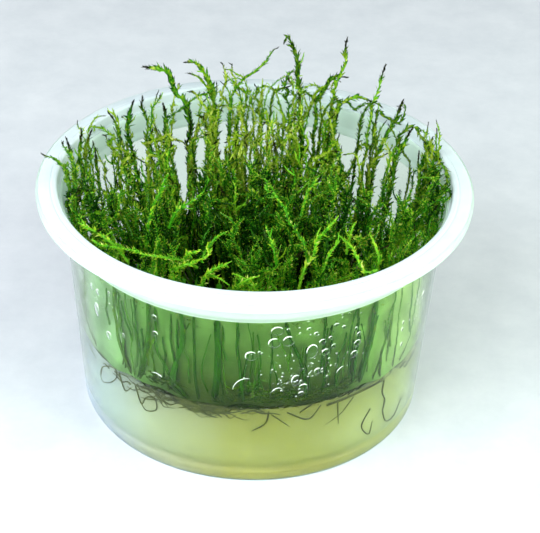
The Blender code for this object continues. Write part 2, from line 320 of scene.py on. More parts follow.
def moss_leaf():
    """Moss leaves: one cell thick, so light shines through them, and wet, so they glint. The attribute growth
    holds each shoot's tone, its height above the gel, and how brown its tip is. The tone has painted shade,
    painted light and painted highlights in it as well as the shoot's own colour."""
    material, tree = new_material("moss_leaf")
    growth = add(tree, "ShaderNodeAttribute", {"attribute_name": "growth"})
    parts = add(tree, "ShaderNodeSeparateColor", {}, {"Color": growth.outputs["Color"]})
    tone = add(tree, "ShaderNodeValToRGB", {}, {"Fac": parts.outputs["Red"]})
    shoot_colour = set_stops(
        tone,
        (
            (0.0, "#082C07"),
            (0.2, "#23660F"),
            (0.4, "#4CAA1C"),
            (0.5, "#80CC30"),
            (0.6, "#A6D02A"),
            (0.8, "#C4DE40"),
            (1.0, "#EEF48C"),
        ),
    )
    age = add(tree, "ShaderNodeValToRGB", {}, {"Fac": parts.outputs["Green"]})
    age_colour = set_stops(age, ((0.0, "#6E5A30"), (0.1, "#B4AC68"), (0.25, "#F0F2D0"), (0.5, "#FFFFFF")))
    aged = add(
        tree,
        "ShaderNodeMix",
        {"data_type": "RGBA", "blend_type": "MULTIPLY"},
        {"Factor": 1.0, "A": shoot_colour, "B": age_colour},
    )
    browned = add(
        tree,
        "ShaderNodeMix",
        {"data_type": "RGBA"},
        {"Factor": parts.outputs["Blue"], "A": result_of(aged), "B": linear("#1B1C0A")},
    )
    colour = result_of(browned)
    surface = add(
        tree,
        "ShaderNodeBsdfPrincipled",
        {},
        {
            "Base Color": colour,
            "Roughness": 0.18,
            "IOR": 1.45,
            "Specular IOR Level": 0.42,
            "Specular Tint": linear("#DCFFA0"),
        },
    )
    through = add(tree, "ShaderNodeBsdfTranslucent", {}, {"Color": colour})
    both = add(
        tree, "ShaderNodeMixShader", {}, {"Fac": 0.5, 1: surface.outputs["BSDF"], 2: through.outputs["BSDF"]}
    )
    add(tree, "ShaderNodeOutputMaterial", {}, {"Surface": both.outputs["Shader"]})
    return material


def rhizoid_thread():
    """Brown rooting threads, seen wet in the gel's edge."""
    material, tree = new_material("rhizoid_thread")
    blotch_mm = 2.0
    _, colour = mottled(tree, blotch_mm, ((0.3, "#262A06"), (0.7, "#484C10")), 2.0)
    shader = add(tree, "ShaderNodeBsdfPrincipled", {}, {"Base Color": colour, "Roughness": 0.5, "IOR": 1.4})
    add(tree, "ShaderNodeOutputMaterial", {}, {"Surface": shader.outputs["BSDF"]})
    return material


def condensed_water():
    """Water drops: clear, with a skin as smooth as glass. Spread thin on the plastic, they bend what is
    behind them far less than a bead of water would, so the IOR is low."""
    material, tree = new_material("condensed_water")
    shader = add(
        tree,
        "ShaderNodeBsdfPrincipled",
        {},
        {
            "Base Color": linear("#FAFFFD"),
            "Roughness": 0.0,
            "IOR": 1.06,
            "Transmission Weight": 1.0,
        },
    )
    add(tree, "ShaderNodeOutputMaterial", {}, {"Surface": shader.outputs["BSDF"]})
    return material


def mist_film():
    """Mist on the plastic: water in drops too fine to see, so it scatters light like ground glass. Towards
    the cup's back it thins out to clear. Its green tint, paler at the sides, is painted light from the moss
    and the lamps at the sides."""
    material, tree = new_material("mist_film")
    patch_mm = 8.0
    _, patch_colour = mottled(tree, patch_mm, ((0.36, "#C6D2BE"), (0.62, "#FFFFFF")), 4.0)
    axes, across = across_the_cup(tree)
    # Painted light: green for the moss's light in the mist, paler towards the sides where more light falls.
    side = add(tree, "ShaderNodeValToRGB", {}, {"Fac": across})
    painted_side_light = set_stops(
        side,
        (
            (0.02, "#E4F4E4"),
            (0.08, "#BEDEB4"),
            (0.2, "#9CCC74"),
            (0.45, "#88B05C"),
            (0.72, "#88B45C"),
            (0.84, "#A8D474"),
            (0.93, "#E6FCB4"),
        ),
    )
    tinted = add(
        tree,
        "ShaderNodeMix",
        {"data_type": "RGBA", "blend_type": "MULTIPLY"},
        {"Factor": 1.0, "A": painted_side_light, "B": patch_colour},
    )
    # Near the gel it is darker and browner: painted shade among the shoots there, and the brown of old shoots
    # behind the mist.
    height = add(
        tree,
        "ShaderNodeMapRange",
        {},
        {"Value": axes.outputs["Z"], "From Min": MIST_FOOT * MM, "From Max": MIST_TOP * MM},
    )
    foot_shade_and_brown_ramp = add(tree, "ShaderNodeValToRGB", {}, {"Fac": height.outputs["Result"]})
    foot_shade_and_brown_stops = ((0.0, "#7A7654"), (0.22, "#A2A27C"), (0.5, "#E4EAD4"), (0.75, "#FFFFFF"))
    foot_shade_and_brown = set_stops(foot_shade_and_brown_ramp, foot_shade_and_brown_stops)
    in_middle = add(tree, "ShaderNodeValToRGB", {}, {"Fac": across})
    middle_share = set_stops(
        in_middle,
        ((0.14, "#000000"), (0.32, "#FFFFFF"), (0.74, "#FFFFFF"), (0.88, "#000000")),
    )
    with_foot_shade_and_brown = add(
        tree,
        "ShaderNodeMix",
        {"data_type": "RGBA", "blend_type": "MULTIPLY"},
        {"Factor": middle_share, "A": result_of(tinted), "B": foot_shade_and_brown},
    )
    clearing = add(
        tree,
        "ShaderNodeMapRange",
        {},
        {"Value": axes.outputs["Y"], "From Min": MIST_CLEARS * MM, "From Max": MIST_CLEAR * MM},
    )
    clear_share = clearing.outputs["Result"]
    faded = add(
        tree,
        "ShaderNodeMix",
        {"data_type": "RGBA"},
        {"Factor": clear_share, "A": result_of(with_foot_shade_and_brown), "B": linear("#FFFFFF")},
    )
    roughness = add(tree, "ShaderNodeMapRange", {}, {"Value": clear_share, "To Min": 0.65, "To Max": 0.03})
    through = add(tree, "ShaderNodeMapRange", {}, {"Value": clear_share, "To Min": 0.55, "To Max": 1.0})
    shader = add(
        tree,
        "ShaderNodeBsdfPrincipled",
        {},
        {
            "Base Color": result_of(faded),
            "Roughness": roughness.outputs["Result"],
            "IOR": 1.16,
            "Transmission Weight": through.outputs["Result"],
        },
    )
    add(tree, "ShaderNodeOutputMaterial", {}, {"Surface": shader.outputs["BSDF"]})
    return material


def painted_drop_highlight():
    """A painted highlight: plain white where a drop's edge is steep, for the light of the window that such an
    edge gathers.
    """
    material, tree = new_material("painted_drop_highlight")
    glitter_mm = 0.6
    _, colour = mottled(tree, glitter_mm, ((0.3, "#DCEFD8"), (0.6, "#FFFFFF")))
    shader = add(tree, "ShaderNodeBsdfPrincipled", {}, {"Base Color": colour, "Roughness": 0.1, "IOR": 1.333})
    add(tree, "ShaderNodeOutputMaterial", {}, {"Surface": shader.outputs["BSDF"]})
    return material


def painted_drop_image():
    """A painted image: the moss and the dark mat as a drop would show them through its water, small and dim.
    """
    material, tree = new_material("painted_drop_image")
    speck_mm = 0.5
    _, colour = mottled(tree, speck_mm, ((0.3, "#1C2E14"), (0.7, "#35502A")))
    shader = add(tree, "ShaderNodeBsdfPrincipled", {}, {"Base Color": colour, "Roughness": 0.3, "IOR": 1.333})
    add(tree, "ShaderNodeOutputMaterial", {}, {"Surface": shader.outputs["BSDF"]})
    return material


def pale_floor():
    """A plain pale floor, faintly mottled."""
    material, tree = new_material("pale_floor")
    mottle_mm = 16.0
    _, colour = mottled(tree, mottle_mm, ((0.3, "#CACED4"), (0.7, "#D7DADF")), 5.0, 0.7)
    shader = add(tree, "ShaderNodeBsdfPrincipled", {}, {"Base Color": colour, "Roughness": 0.7})
    add(tree, "ShaderNodeOutputMaterial", {}, {"Surface": shader.outputs["BSDF"]})
    return material


# ---------------------------------------------------------------- mesh from arrays


def add_piece(name, points, faces, materials, face_material=None, smooth=True):
    """A mesh object from arrays in millimetres. faces is an array of triangles or of quads."""
    points = np.asarray(points, float) * MM
    faces = np.asarray(faces, np.int32)
    corners = faces.shape[1]
    mesh = bpy.data.meshes.new(name)
    mesh.vertices.add(len(points))
    mesh.vertices.foreach_set("co", points.ravel())
    mesh.loops.add(faces.size)
    mesh.loops.foreach_set("vertex_index", faces.ravel())
    mesh.polygons.add(len(faces))
    mesh.polygons.foreach_set("loop_start", np.arange(0, faces.size, corners, dtype=np.int32))
    mesh.polygons.foreach_set("use_smooth", np.full(len(faces), smooth))
    for material in materials:
        mesh.materials.append(material)
    if face_material is not None:
        mesh.polygons.foreach_set("material_index", np.asarray(face_material, np.int32))
    mesh.update(calc_edges=True)
    mesh.validate()
    ob = bpy.data.objects.new(name, mesh)
    bpy.context.scene.collection.objects.link(ob)
    return ob


def turned_arrays(profile, segments):
    """Points and quads of a profile (r, z) turned about Z. Its end rings stay open for add_turned."""
    profile = np.array(profile, float)
    turns = np.linspace(0, 2 * math.pi, segments, endpoint=False)
    r, z = profile[:, 0], profile[:, 1]
    x = r[:, None] * np.cos(turns)
    y = r[:, None] * np.sin(turns)
    points = np.stack([x, y, np.broadcast_to(z[:, None], x.shape)], -1).reshape(-1, 3)
    rows = np.arange(len(profile) - 1)[:, None] * segments
    here = np.arange(segments)
    there = (here + 1) % segments
    quads = np.stack([rows + here, rows + segments + here, rows + segments + there, rows + there], -1)
    return points, quads.reshape(-1, 4)


def arc(centre_r, centre_z, radius, start_degrees, end_degrees, steps):
    """Points (r, z) along an arc of a profile."""
    turns = np.radians(np.linspace(start_degrees, end_degrees, steps + 1))
    return [(centre_r + radius * math.cos(t), centre_z + radius * math.sin(t)) for t in turns]


def inner_wall_radius(z):
    """The radius of the wall's inner face at a height, up to the shoulder."""
    bottom = BASE_RADIUS - WALL
    top = SHOULDER_RADIUS - WALL
    share = (np.minimum(z, SHOULDER_Z) - BASE_ROUND) / (SHOULDER_Z - BASE_ROUND)
    return bottom + (top - bottom) * share


# ---------------------------------------------------------------- cup and gel


def rounded(profile, radius, steps=4):
    """A profile with each inner corner rounded by the given radius, or less where a side is short."""
    points = [np.array(p, float) for p in profile]
    result = [points[0]]
    for before, corner, after in zip(points, points[1:], points[2:]):
        to_before, to_after = before - corner, after - corner
        reach = min(radius, 0.4 * np.linalg.norm(to_before), 0.4 * np.linalg.norm(to_after))
        start = corner + to_before / np.linalg.norm(to_before) * reach
        end = corner + to_after / np.linalg.norm(to_after) * reach
        for i in range(steps + 1):
            t = i / steps
            result.append((1 - t) ** 2 * start + 2 * t * (1 - t) * corner + t**2 * end)
    result.append(points[-1])
    return result


def culture_cup(wall, flange, neck):
    """The cup, turned in one piece, with the plastic of each ring of its faces chosen by where it lies."""
    inner_round = BASE_ROUND - WALL
    skirt_inner = FLANGE_RADIUS - WALL
    flange_under = CUP_HEIGHT - FLANGE_DROP - WALL
    neck_inner = NECK_RADIUS - WALL
    inside = [(AXIS_RADIUS, FLOOR)]
    inside += arc(BASE_RADIUS - WALL - inner_round, FLOOR + inner_round, inner_round, -90, 0, 8)
    rim = [
        (SHOULDER_RADIUS - WALL, SHOULDER_Z + 0.3),
        (neck_inner - 0.2, SHOULDER_Z + 1.4),
        (neck_inner, LEDGE_Z - 0.2),
        (MOUTH_RADIUS - 0.3, LEDGE_Z + 0.2),
        (MOUTH_RADIUS, CUP_HEIGHT - 0.3),
        (MOUTH_RADIUS + 0.3, CUP_HEIGHT),
        (MOUTH_RADIUS + 1.2, CUP_HEIGHT),
        (MOUTH_RADIUS + 1.5, CUP_HEIGHT - GROOVE),
        (MOUTH_RADIUS + 1.8, CUP_HEIGHT - 0.15),
        (FLANGE_RADIUS - 0.4, CUP_HEIGHT - FLANGE_DROP),
        (FLANGE_RADIUS, CUP_HEIGHT - FLANGE_DROP - 0.4),
        (FLANGE_RADIUS, SKIRT_GROOVE_Z + 0.2),
        (FLANGE_RADIUS - SKIRT_GROOVE_DEPTH, SKIRT_GROOVE_Z),
        (FLANGE_RADIUS, SKIRT_GROOVE_Z - 0.2),
        (FLANGE_RADIUS - 0.1, SKIRT_BOTTOM),
        (skirt_inner - 0.1, SKIRT_BOTTOM),
        (skirt_inner - 0.1, flange_under),
        (MOUTH_RADIUS + 0.9, flange_under + 0.2),
        (MOUTH_RADIUS + 0.6, LEDGE_Z),
        (NECK_RADIUS, LEDGE_Z - 1.0),
        (NECK_RADIUS - 0.2, SHOULDER_Z + 0.8),
        (SHOULDER_RADIUS, SHOULDER_Z - 0.4),
    ]
    outside = arc(BASE_RADIUS - BASE_ROUND, BASE_ROUND, BASE_ROUND, 0, -90, 10)
    outside.append((AXIS_RADIUS, 0.0))
    profile = np.array(rounded(inside + rim + outside, PROFILE_ROUND, 3))
    middle = (profile[:-1, 1] + profile[1:, 1]) / 2
    reach = (profile[:-1, 0] + profile[1:, 0]) / 2
    is_flange = (reach > MOUTH_RADIUS) | (middle > LEDGE_Z)
    is_flange |= (middle < BASE_RING_TOP) & (reach > BASE_RING_INNER)
    is_neck = (middle > NECK_FOOT) & (reach > SHOULDER_RADIUS - WALL - 0.2) & ~is_flange
    # The flange's outer edge and its skirt are as thin as the neck, but for a rib along the skirt.
    off_rib = (middle > SKIRT_RIB_TOP) | (middle < SKIRT_GROOVE_Z)
    is_edge = off_rib & (reach > FLANGE_RADIUS - SKIRT_EDGE)
    is_flange &= ~is_edge
    is_neck |= is_edge
    return add_turned("moulded_cup", profile, [wall, flange, neck], is_flange + 2 * is_neck)


def add_turned(name, profile, materials, ring_material=None):
    """A turned piece whose two end rings are closed by a point on the axis. ring_material numbers the
    material of each ring of faces; the ends take the first."""
    points, quads = turned_arrays(profile, CUP_SEGMENTS)
    first = np.arange(CUP_SEGMENTS)
    last = len(points) - CUP_SEGMENTS + first
    top = len(points)
    bottom = top + 1
    points = np.vstack([points, points[first].mean(0), points[last].mean(0)])
    tris = []
    for a, b, c, d in quads:
        tris += [(a, b, c), (a, c, d)]
    for i in range(CUP_SEGMENTS):
        j = (i + 1) % CUP_SEGMENTS
        tris += [(top, first[i], first[j]), (bottom, last[j], last[i])]
    kinds = None
    if ring_material is not None:
        kinds = list(np.repeat(ring_material, 2 * CUP_SEGMENTS)) + [0] * (2 * CUP_SEGMENTS)
    return add_piece(name, points, tris, materials, kinds)


def nutrient_gel(material):
    """The poured gel, flat on top, drawn up to the wall at its edge and into the plastic at its foot."""
    bottom = GEL_SKIN
    edge_round = BASE_ROUND - GEL_SKIN
    foot_radius = BASE_RADIUS - GEL_SKIN
    top_radius = inner_wall_radius(GEL_TOP + MENISCUS) - GAP
    profile = [(AXIS_RADIUS, GEL_TOP)]
    for i in range(9):
        share = i / 8
        profile.append((top_radius - MENISCUS_REACH * (1 - share), GEL_TOP + MENISCUS * share**3))
    # Low down the gel grips the plastic, with no air between them. The eye then sees it right to the cup's
    # edge, so it is drawn into the plastic there, to a thin skin from the outside.
    profile.append((inner_wall_radius(GEL_GRIP_TOP + 1.0) - GAP, GEL_GRIP_TOP + 1.0))
    profile.append((inner_wall_radius(GEL_GRIP_TOP) + WALL - GEL_SKIN, GEL_GRIP_TOP))
    profile += arc(foot_radius - edge_round, bottom + edge_round, edge_round, 0, -90, 8)
    profile.append((AXIS_RADIUS, bottom))
    return add_turned("poured_gel", profile, [material])


# ---------------------------------------------------------------- moss

PATH_STEP = 0.27
STEM_SIDES = 4
# A leaf is a kite folded along its rib: foot, left, right, a point on the rib, tip.
LEAF_FACES = np.array([(0, 1, 3), (0, 3, 2), (1, 4, 3), (3, 4, 2)])


def canopy_height(y):
    """How high the clump's top is: it rises to the back and droops at the front rim."""
    droop = FRONT_DROOP * np.maximum(0.0, -y - DROOP_START) / (CANOPY_RADIUS - DROOP_START)
    return CANOPY_Z + CANOPY_RISE * y / CANOPY_RADIUS - droop


def curve_through(points, spacing=PATH_STEP):
    """A smooth curve through the given points, sampled about every spacing millimetres."""
    way = np.asarray(points, float)
    way = np.vstack([2 * way[0] - way[1], way, 2 * way[-1] - way[-2]])
    pieces = []
    for a, b, c, d in zip(way, way[1:], way[2:], way[3:]):
        steps = max(2, int(np.linalg.norm(c - b) / spacing))
        t = (np.arange(steps) / steps)[:, None]
        bent = (2 * a - 5 * b + 4 * c - d) * t**2 + (3 * b - a - 3 * c + d) * t**3
        pieces.append(0.5 * (2 * b + (c - a) * t + bent))
    pieces.append(way[-2:-1])
    return np.vstack(pieces)


def unit(vectors):
    """Vectors scaled to a length of 1."""
    return vectors / (np.linalg.norm(vectors, axis=-1, keepdims=True) + 1e-9)


def run_along(path):
    """How far along a path each of its points is."""
    return np.concatenate([[0.0], np.cumsum(np.linalg.norm(np.diff(path, axis=0), axis=1))])


class Thicket:
    """Collects points, triangles and growth values, to be joined into one piece."""

    def __init__(self):
        self.points = []
        self.faces = []
        self.growth = []
        self.kinds = []
        self.count = 0

    def put(self, points, faces, growth, kind=0):
        """Adds a mesh. kind numbers the material of its faces."""
        self.points.append(points)
        self.faces.append(faces + self.count)
        self.growth.append(growth)
        self.kinds.append(np.full(len(faces), kind))
        self.count += len(points)

    def join(self, name, *materials, smooth=False):
        """Makes one piece of all that was put in."""
        kinds = np.concatenate(self.kinds)
        ob = add_piece(name, np.vstack(self.points), np.vstack(self.faces), materials, kinds, smooth)
        growth = ob.data.attributes.new("growth", "FLOAT_COLOR", "POINT")
        growth.data.foreach_set("color", np.vstack(self.growth).ravel())
        return ob


def tube(path, side, front, radius, sides):
    """Points and triangles of a closed tube about a path."""
    turns = np.arange(sides) * 2 * math.pi / sides
    offset = side[:, None] * np.cos(turns)[None, :, None] + front[:, None] * np.sin(turns)[None, :, None]
    points = (path[:, None] + offset * np.broadcast_to(radius, len(path))[:, None, None]).reshape(-1, 3)
    base = np.arange(len(path) - 1)[:, None] * sides
    k = np.arange(sides)
    j = (k + 1) % sides
    lower = np.stack([base + k, base + j, base + sides + j], -1).reshape(-1, 3)
    upper = np.stack([base + k, base + sides + j, base + sides + k], -1).reshape(-1, 3)
    fan = np.arange(1, sides - 1)
    ends = np.stack([0 * fan, fan + 1, fan], -1)
    last = (len(path) - 1) * sides
    caps = np.stack([0 * fan, fan, fan + 1], -1) + last
    return points, np.vstack([ends, lower, upper, caps])


def crosswise(ahead, spin):
    """Two directions across a path, square to each other, turned by spin about it."""
    upright = abs(ahead[:, 2]).mean() > 0.7
    helper = unit(np.cross(ahead, np.array([1.0, 0.2, 0.0]) if upright else np.array([0.2, 0.1, 1.0])))
    other = np.cross(ahead, helper)
    side = helper * np.cos(spin)[:, None] + other * np.sin(spin)[:, None]
    return side, np.cross(ahead, side)


# The tone that shoots by the wall are painted towards: painted light, for the light that comes in through the
# plastic.
WALL_LIGHT_TONE = 0.64
# How brown a shoot looks where the wet wall presses it flat.
PRESSED_DULL = 0.45
# Painted highlights: the share of leaves painted paler as if they glinted, and how much paler those are.
PAINTED_GLINTS, PAINTED_GLINT_TONE = 0.05, 0.45
# How far leaves on one shoot differ in tone.
LEAF_VARIETY = 0.13
# A shoot is grown up this far above the gel, in mm.
AGE_HEIGHT = 36.0
# Painted shade: how far below the clump's top leaves start to be painted darker, over how many mm, and by how
# much.
PAINTED_SHADE_START, PAINTED_SHADE_DEPTH, PAINTED_SHADE = 2.0, 8.0, 0.55
# Painted light: shoots are painted paler from this radius out, over so many mm, and from this height down,
# over so many mm.
PAINTED_LIGHT_RADIUS, PAINTED_LIGHT_BAND, PAINTED_LIGHT_BELOW, PAINTED_LIGHT_FADE = 27.0, 7.0, 52.0, 5.0
# A shoot nearer than this to the wall, in mm, is pressed by it, in front of this y.
PRESSED_GAP, PRESSED_BEFORE = 2.8, 5.0
# A leaf's share of its full length at the tip, how much that grows per mm from it, and its share at the foot.
TIP_LEAF, LEAF_GROWTH, FOOT_LEAF = 0.38, 0.13, 0.75
# How far leaves differ in their angle off the stem, the widest angle, and the widest of a pressed shoot.
LIFT_VARIETY, MOST_LIFT, PRESSED_LIFT = 0.18, 1.4, 0.2
# A stem has a ring of points at every so many points of its path.
RING_STEP = 5

# How leaves sit on a shoot: their length in mm, breadth as a share of it, and angle off the stem. Then, for a
# leaf's foot, its two sides, its rib and its tip, how much paler and how much browner each is than the shoot.
# Painted light in these tones: the paler tips and darker feet of FEATHER and LAID leaves are painted
# highlight and painted shade, and the paler rib and darker sides of ROPE leaves are painted light shining
# through a leaf's middle; ROPE's brown tip is the leaf's own colour.
FEATHER = (1.05, 0.42, 0.9, (-0.24, 0.02, 0.02, -0.06, 0.34), (0, 0, 0, 0, 0))
ROPE = (1.25, 0.42, 0.4, (0.04, -0.14, -0.14, 0.12, -0.6), (0, 0.15, 0.15, 0, 0.7))
LAID = (0.95, 0.5, 0.62, (-0.26, 0.0, 0.0, -0.06, 0.22), (0, 0, 0, 0, 0))
PRESSED = (1.4, 0.3, 0.08, (0.0, 0.0, 0.0, 0.04, 0.06), (0, 0.05, 0.05, 0, 0))


def shoot(thicket, rng, path, tone, habit, size=1.0, dark_tip=0.0, leafy_above=0.0, thin=0.3, dull=0.0):
    """One leafy shoot: a thin stem with leaves in two rows, and half as many between them.

    dark_tip is the length of its brown tip in mm. Below the height leafy_above only the share thin of its
    leaves is left. dull is how brown the whole shoot is.
    """
    leaf_length, leaf_breadth, spread, paler, browner = habit
    ahead = unit(np.gradient(path, axis=0))
    run = run_along(path)
    length = run[-1]
    age = np.clip((path[:, 2] - GEL_TOP) / AGE_HEIGHT, 0, 1)
    brown = np.clip((run - (length - dark_tip)) / max(dark_tip, 0.01) * 1.8, 0, 1) * (dark_tip > 0)
    brown = np.maximum(brown, dull)
    if habit is FEATHER:
        # Down in the thick of the clump the leaves are painted dark: painted shade.
        depth = canopy_height(path[:, 1]) - path[:, 2]
        tone = tone * (1 - PAINTED_SHADE * np.clip((depth - PAINTED_SHADE_START) / PAINTED_SHADE_DEPTH, 0, 1))
    # Near the wall and below the neck, where light comes in through the plastic, shoots are painted paler:
    # painted light.
    out_from_axis = np.hypot(path[:, 0], path[:, 1])
    painted_wall_light = np.clip((out_from_axis - PAINTED_LIGHT_RADIUS) / PAINTED_LIGHT_BAND, 0, 1)
    painted_wall_light = painted_wall_light * np.clip((PAINTED_LIGHT_BELOW - path[:, 2]) / PAINTED_LIGHT_FADE, 0, 1)
    tone = tone + (WALL_LIGHT_TONE - tone) * painted_wall_light * (dull == 0)
    to_wall = inner_wall_radius(path[:, 2]) - out_from_axis
    pressed = np.clip(PRESSED_GAP - to_wall, 0, 1)
    pressed = pressed * (path[:, 2] < SHOULDER_Z) * (path[:, 1] < PRESSED_BEFORE)
    brown = np.maximum(brown, PRESSED_DULL * pressed)
    spin = rng.uniform(0, 2 * math.pi) + rng.uniform(-0.08, 0.08) * run
    side, front = crosswise(ahead, spin)

    rings = np.unique(np.append(np.arange(0, len(path), RING_STEP), len(path) - 1))
    foot_and_tip = [0.4, 0.3] if habit is PRESSED else [0.26, 0.12]
    thick = np.interp(run[rings], [0, length], foot_and_tip) * size
    points, faces = tube(path[rings], side[rings], front[rings], thick, STEM_SIDES)
    growth = np.zeros((len(points), 4))
    stem_tone = tone * np.where(painted_wall_light > 0, 0.9, 0.5) if habit is FEATHER else 0.95 * tone
    growth[:, 0] = np.repeat(stem_tone[rings], STEM_SIDES)
    growth[:, 1] = np.repeat(age[rings], STEM_SIDES)
    growth[:, 2] = np.repeat(brown[rings], STEM_SIDES)
    thicket.put(points, faces, growth)

    at = np.arange(len(path))
    kept = rng.random(len(at)) < np.where(path[:, 2] > leafy_above, 1.0, thin)
    rows = at[kept]
    row_turn = np.where(rows % 2 == 0, 0.0, math.pi)
    between = at[kept & (rng.random(len(at)) < 0.5)]
    between_turn = rng.choice([-1.0, 1.0], len(between)) * math.pi / 2
    index = np.concatenate([rows, between])
    turn = np.concatenate([row_turn, between_turn]) + rng.normal(0, 0.35, len(index))
    n = len(index)
    share = run[index] / length
    to_tip = length - run[index]
    taper = np.clip(TIP_LEAF + to_tip * LEAF_GROWTH, 0, 1) * np.clip(FOOT_LEAF + share, 0, 1)
    leaf = leaf_length * size * taper * rng.uniform(0.75, 1.2, n)
    broad = leaf_breadth * leaf * rng.uniform(0.8, 1.2, n)
    lift = np.clip(rng.normal(spread, LIFT_VARIETY, n), 0.3 * spread, MOST_LIFT)
    lift = lift * np.clip(0.35 + to_tip * 0.3, 0, 1)
    if habit is PRESSED:
        lift = np.minimum(lift, PRESSED_LIFT)
    out = side[index] * np.cos(turn)[:, None] + front[index] * np.sin(turn)[:, None]
    along = ahead[index]
    aim = along * np.cos(lift)[:, None] + out * np.sin(lift)[:, None]
    wide = unit(np.cross(along, out) + 0.35 * rng.normal(0, 1, (n, 3)))
    face = unit(np.cross(aim, wide))
    foot = path[index] + out * (0.08 * size)
    fold = (rng.uniform(0.1, 0.3, n) * broad)[:, None] * face
    half = wide * (broad / 2)[:, None]
    reach = aim * leaf[:, None]
    curl = (along * 0.5 - face * 0.5) * (rng.uniform(-0.1, 0.3, n) * leaf)[:, None]
    points = np.stack(
        [
            foot,
            foot + reach * 0.4 + half + fold,
            foot + reach * 0.4 - half + fold,
            foot + reach * 0.5,
            foot + reach + curl,
        ],
        1,
    )
    growth = np.zeros((n, 5, 4))
    leaf_tone = tone[index] + rng.normal(0, LEAF_VARIETY, n)
    # Painted highlights: a few leaves are painted much paler, as glints.
    leaf_tone = leaf_tone + PAINTED_GLINT_TONE * (rng.random(n) < PAINTED_GLINTS) * (habit is not PRESSED)
    growth[:, :, 0] = np.clip(leaf_tone, 0, 1)[:, None] + np.array(paler)
    growth[:, :, 1] = age[index][:, None]
    growth[:, :, 2] = np.maximum(brown[index][:, None], np.array(browner))
    faces = (np.arange(n)[:, None, None] * 5 + LEAF_FACES[None]).reshape(-1, 3)
    thicket.put(points.reshape(-1, 3), faces, np.clip(growth.reshape(-1, 4), 0, 1))


def crook(start, ahead, towards, length, bend):
    """Points of a tip that bends over, turning by bend radians towards a direction over its length."""
    across = unit(towards - ahead * np.dot(towards, ahead))
    steps = max(3, round(length / 1.2))
    points = []
    at = start
    for i in range(1, steps + 1):
        angle = bend * (i / steps) ** 1.2
        at = at + (ahead * math.cos(angle) + across * math.sin(angle)) * length / steps
        points.append(at)
    return points


# The tall shoots that give the clump its outline, each as the points that its stem bends through.
TALL_SHOOTS = (
    ((-41.5, -4, 52), (-42.6, -3, 57.5), (-44.5, -2, 60.5), (-48.5, 0, 61.5)),
    ((-41.5, 4, 48), (-42, 4, 56), (-43.5, 5, 63)),
    ((-39.5, 8, 47), (-41, 9, 55), (-40.5, 10, 62.5)),
    ((-39, 11.5, 46), (-40, 11.5, 54), (-38.5, 11.5, 61.5)),
    ((-36.5, 8.5, 46), (-37, 9, 53), (-37.5, 9, 58)),
    ((-31.5, 20, 50), (-33, 20, 57), (-35, 20, 61.5)),
    ((-29, 24, 44), (-31, 24, 54.5), (-29.5, 23, 63)),
    ((-26, 26, 42), (-26.5, 28.5, 51.5), (-28, 30, 60.5)),
    ((-21.5, 26, 46), (-21.5, 26, 52.5), (-22.5, 26, 61)),
    ((9.2, 29.5, 64), (9.5, 30.5, 70), (7.5, 31.5, 75)),
    ((3, 34, 50), (4, 34.5, 60), (8, 34, 62.5)),
    ((14, 30, 50), (14.5, 31, 60.5), (18, 31, 66.5), (21, 31.5, 66.5)),
    ((19, 29, 50), (18, 29, 62.5), (20.5, 29, 71.5), (20.5, 29, 78)),
    ((18, 26, 50), (19.5, 26.5, 61), (23.5, 27, 63.5), (27.5, 27, 62.5)),
    ((26.5, 25, 50), (27.5, 26.5, 61.5), (29.5, 28, 68.5), (30, 28, 72)),
    ((29, 22, 50), (33, 23, 60), (34.5, 24, 64.5)),
    ((32, 11, 48), (33, 12, 56), (36, 13, 63)),
    ((37.5, 4, 48), (37.7, 5, 55), (37.5, 6, 61)),
    ((40, -4, 48), (42, -3.5, 55), (44, -3.5, 58)),
    ((-33, -22, 46), (-35, -23, 54), (-33, -25, 58)),
    ((6, -30, 46), (7, -31, 54), (11, -32, 58)),
    ((24, -27, 46), (25, -28, 54), (29, -28, 57.5)),
    ((-6, 2, 46), (-6, 3, 55), (-7, 5, 61)),
    ((4, 4, 46), (5, 6, 56), (4, 7, 62)),
    ((3, -5, 46), (4, -6, 54), (7, -7, 59)),
    ((-5, -6, 46), (-6, -7, 54), (-8, -7, 58.5)),
)

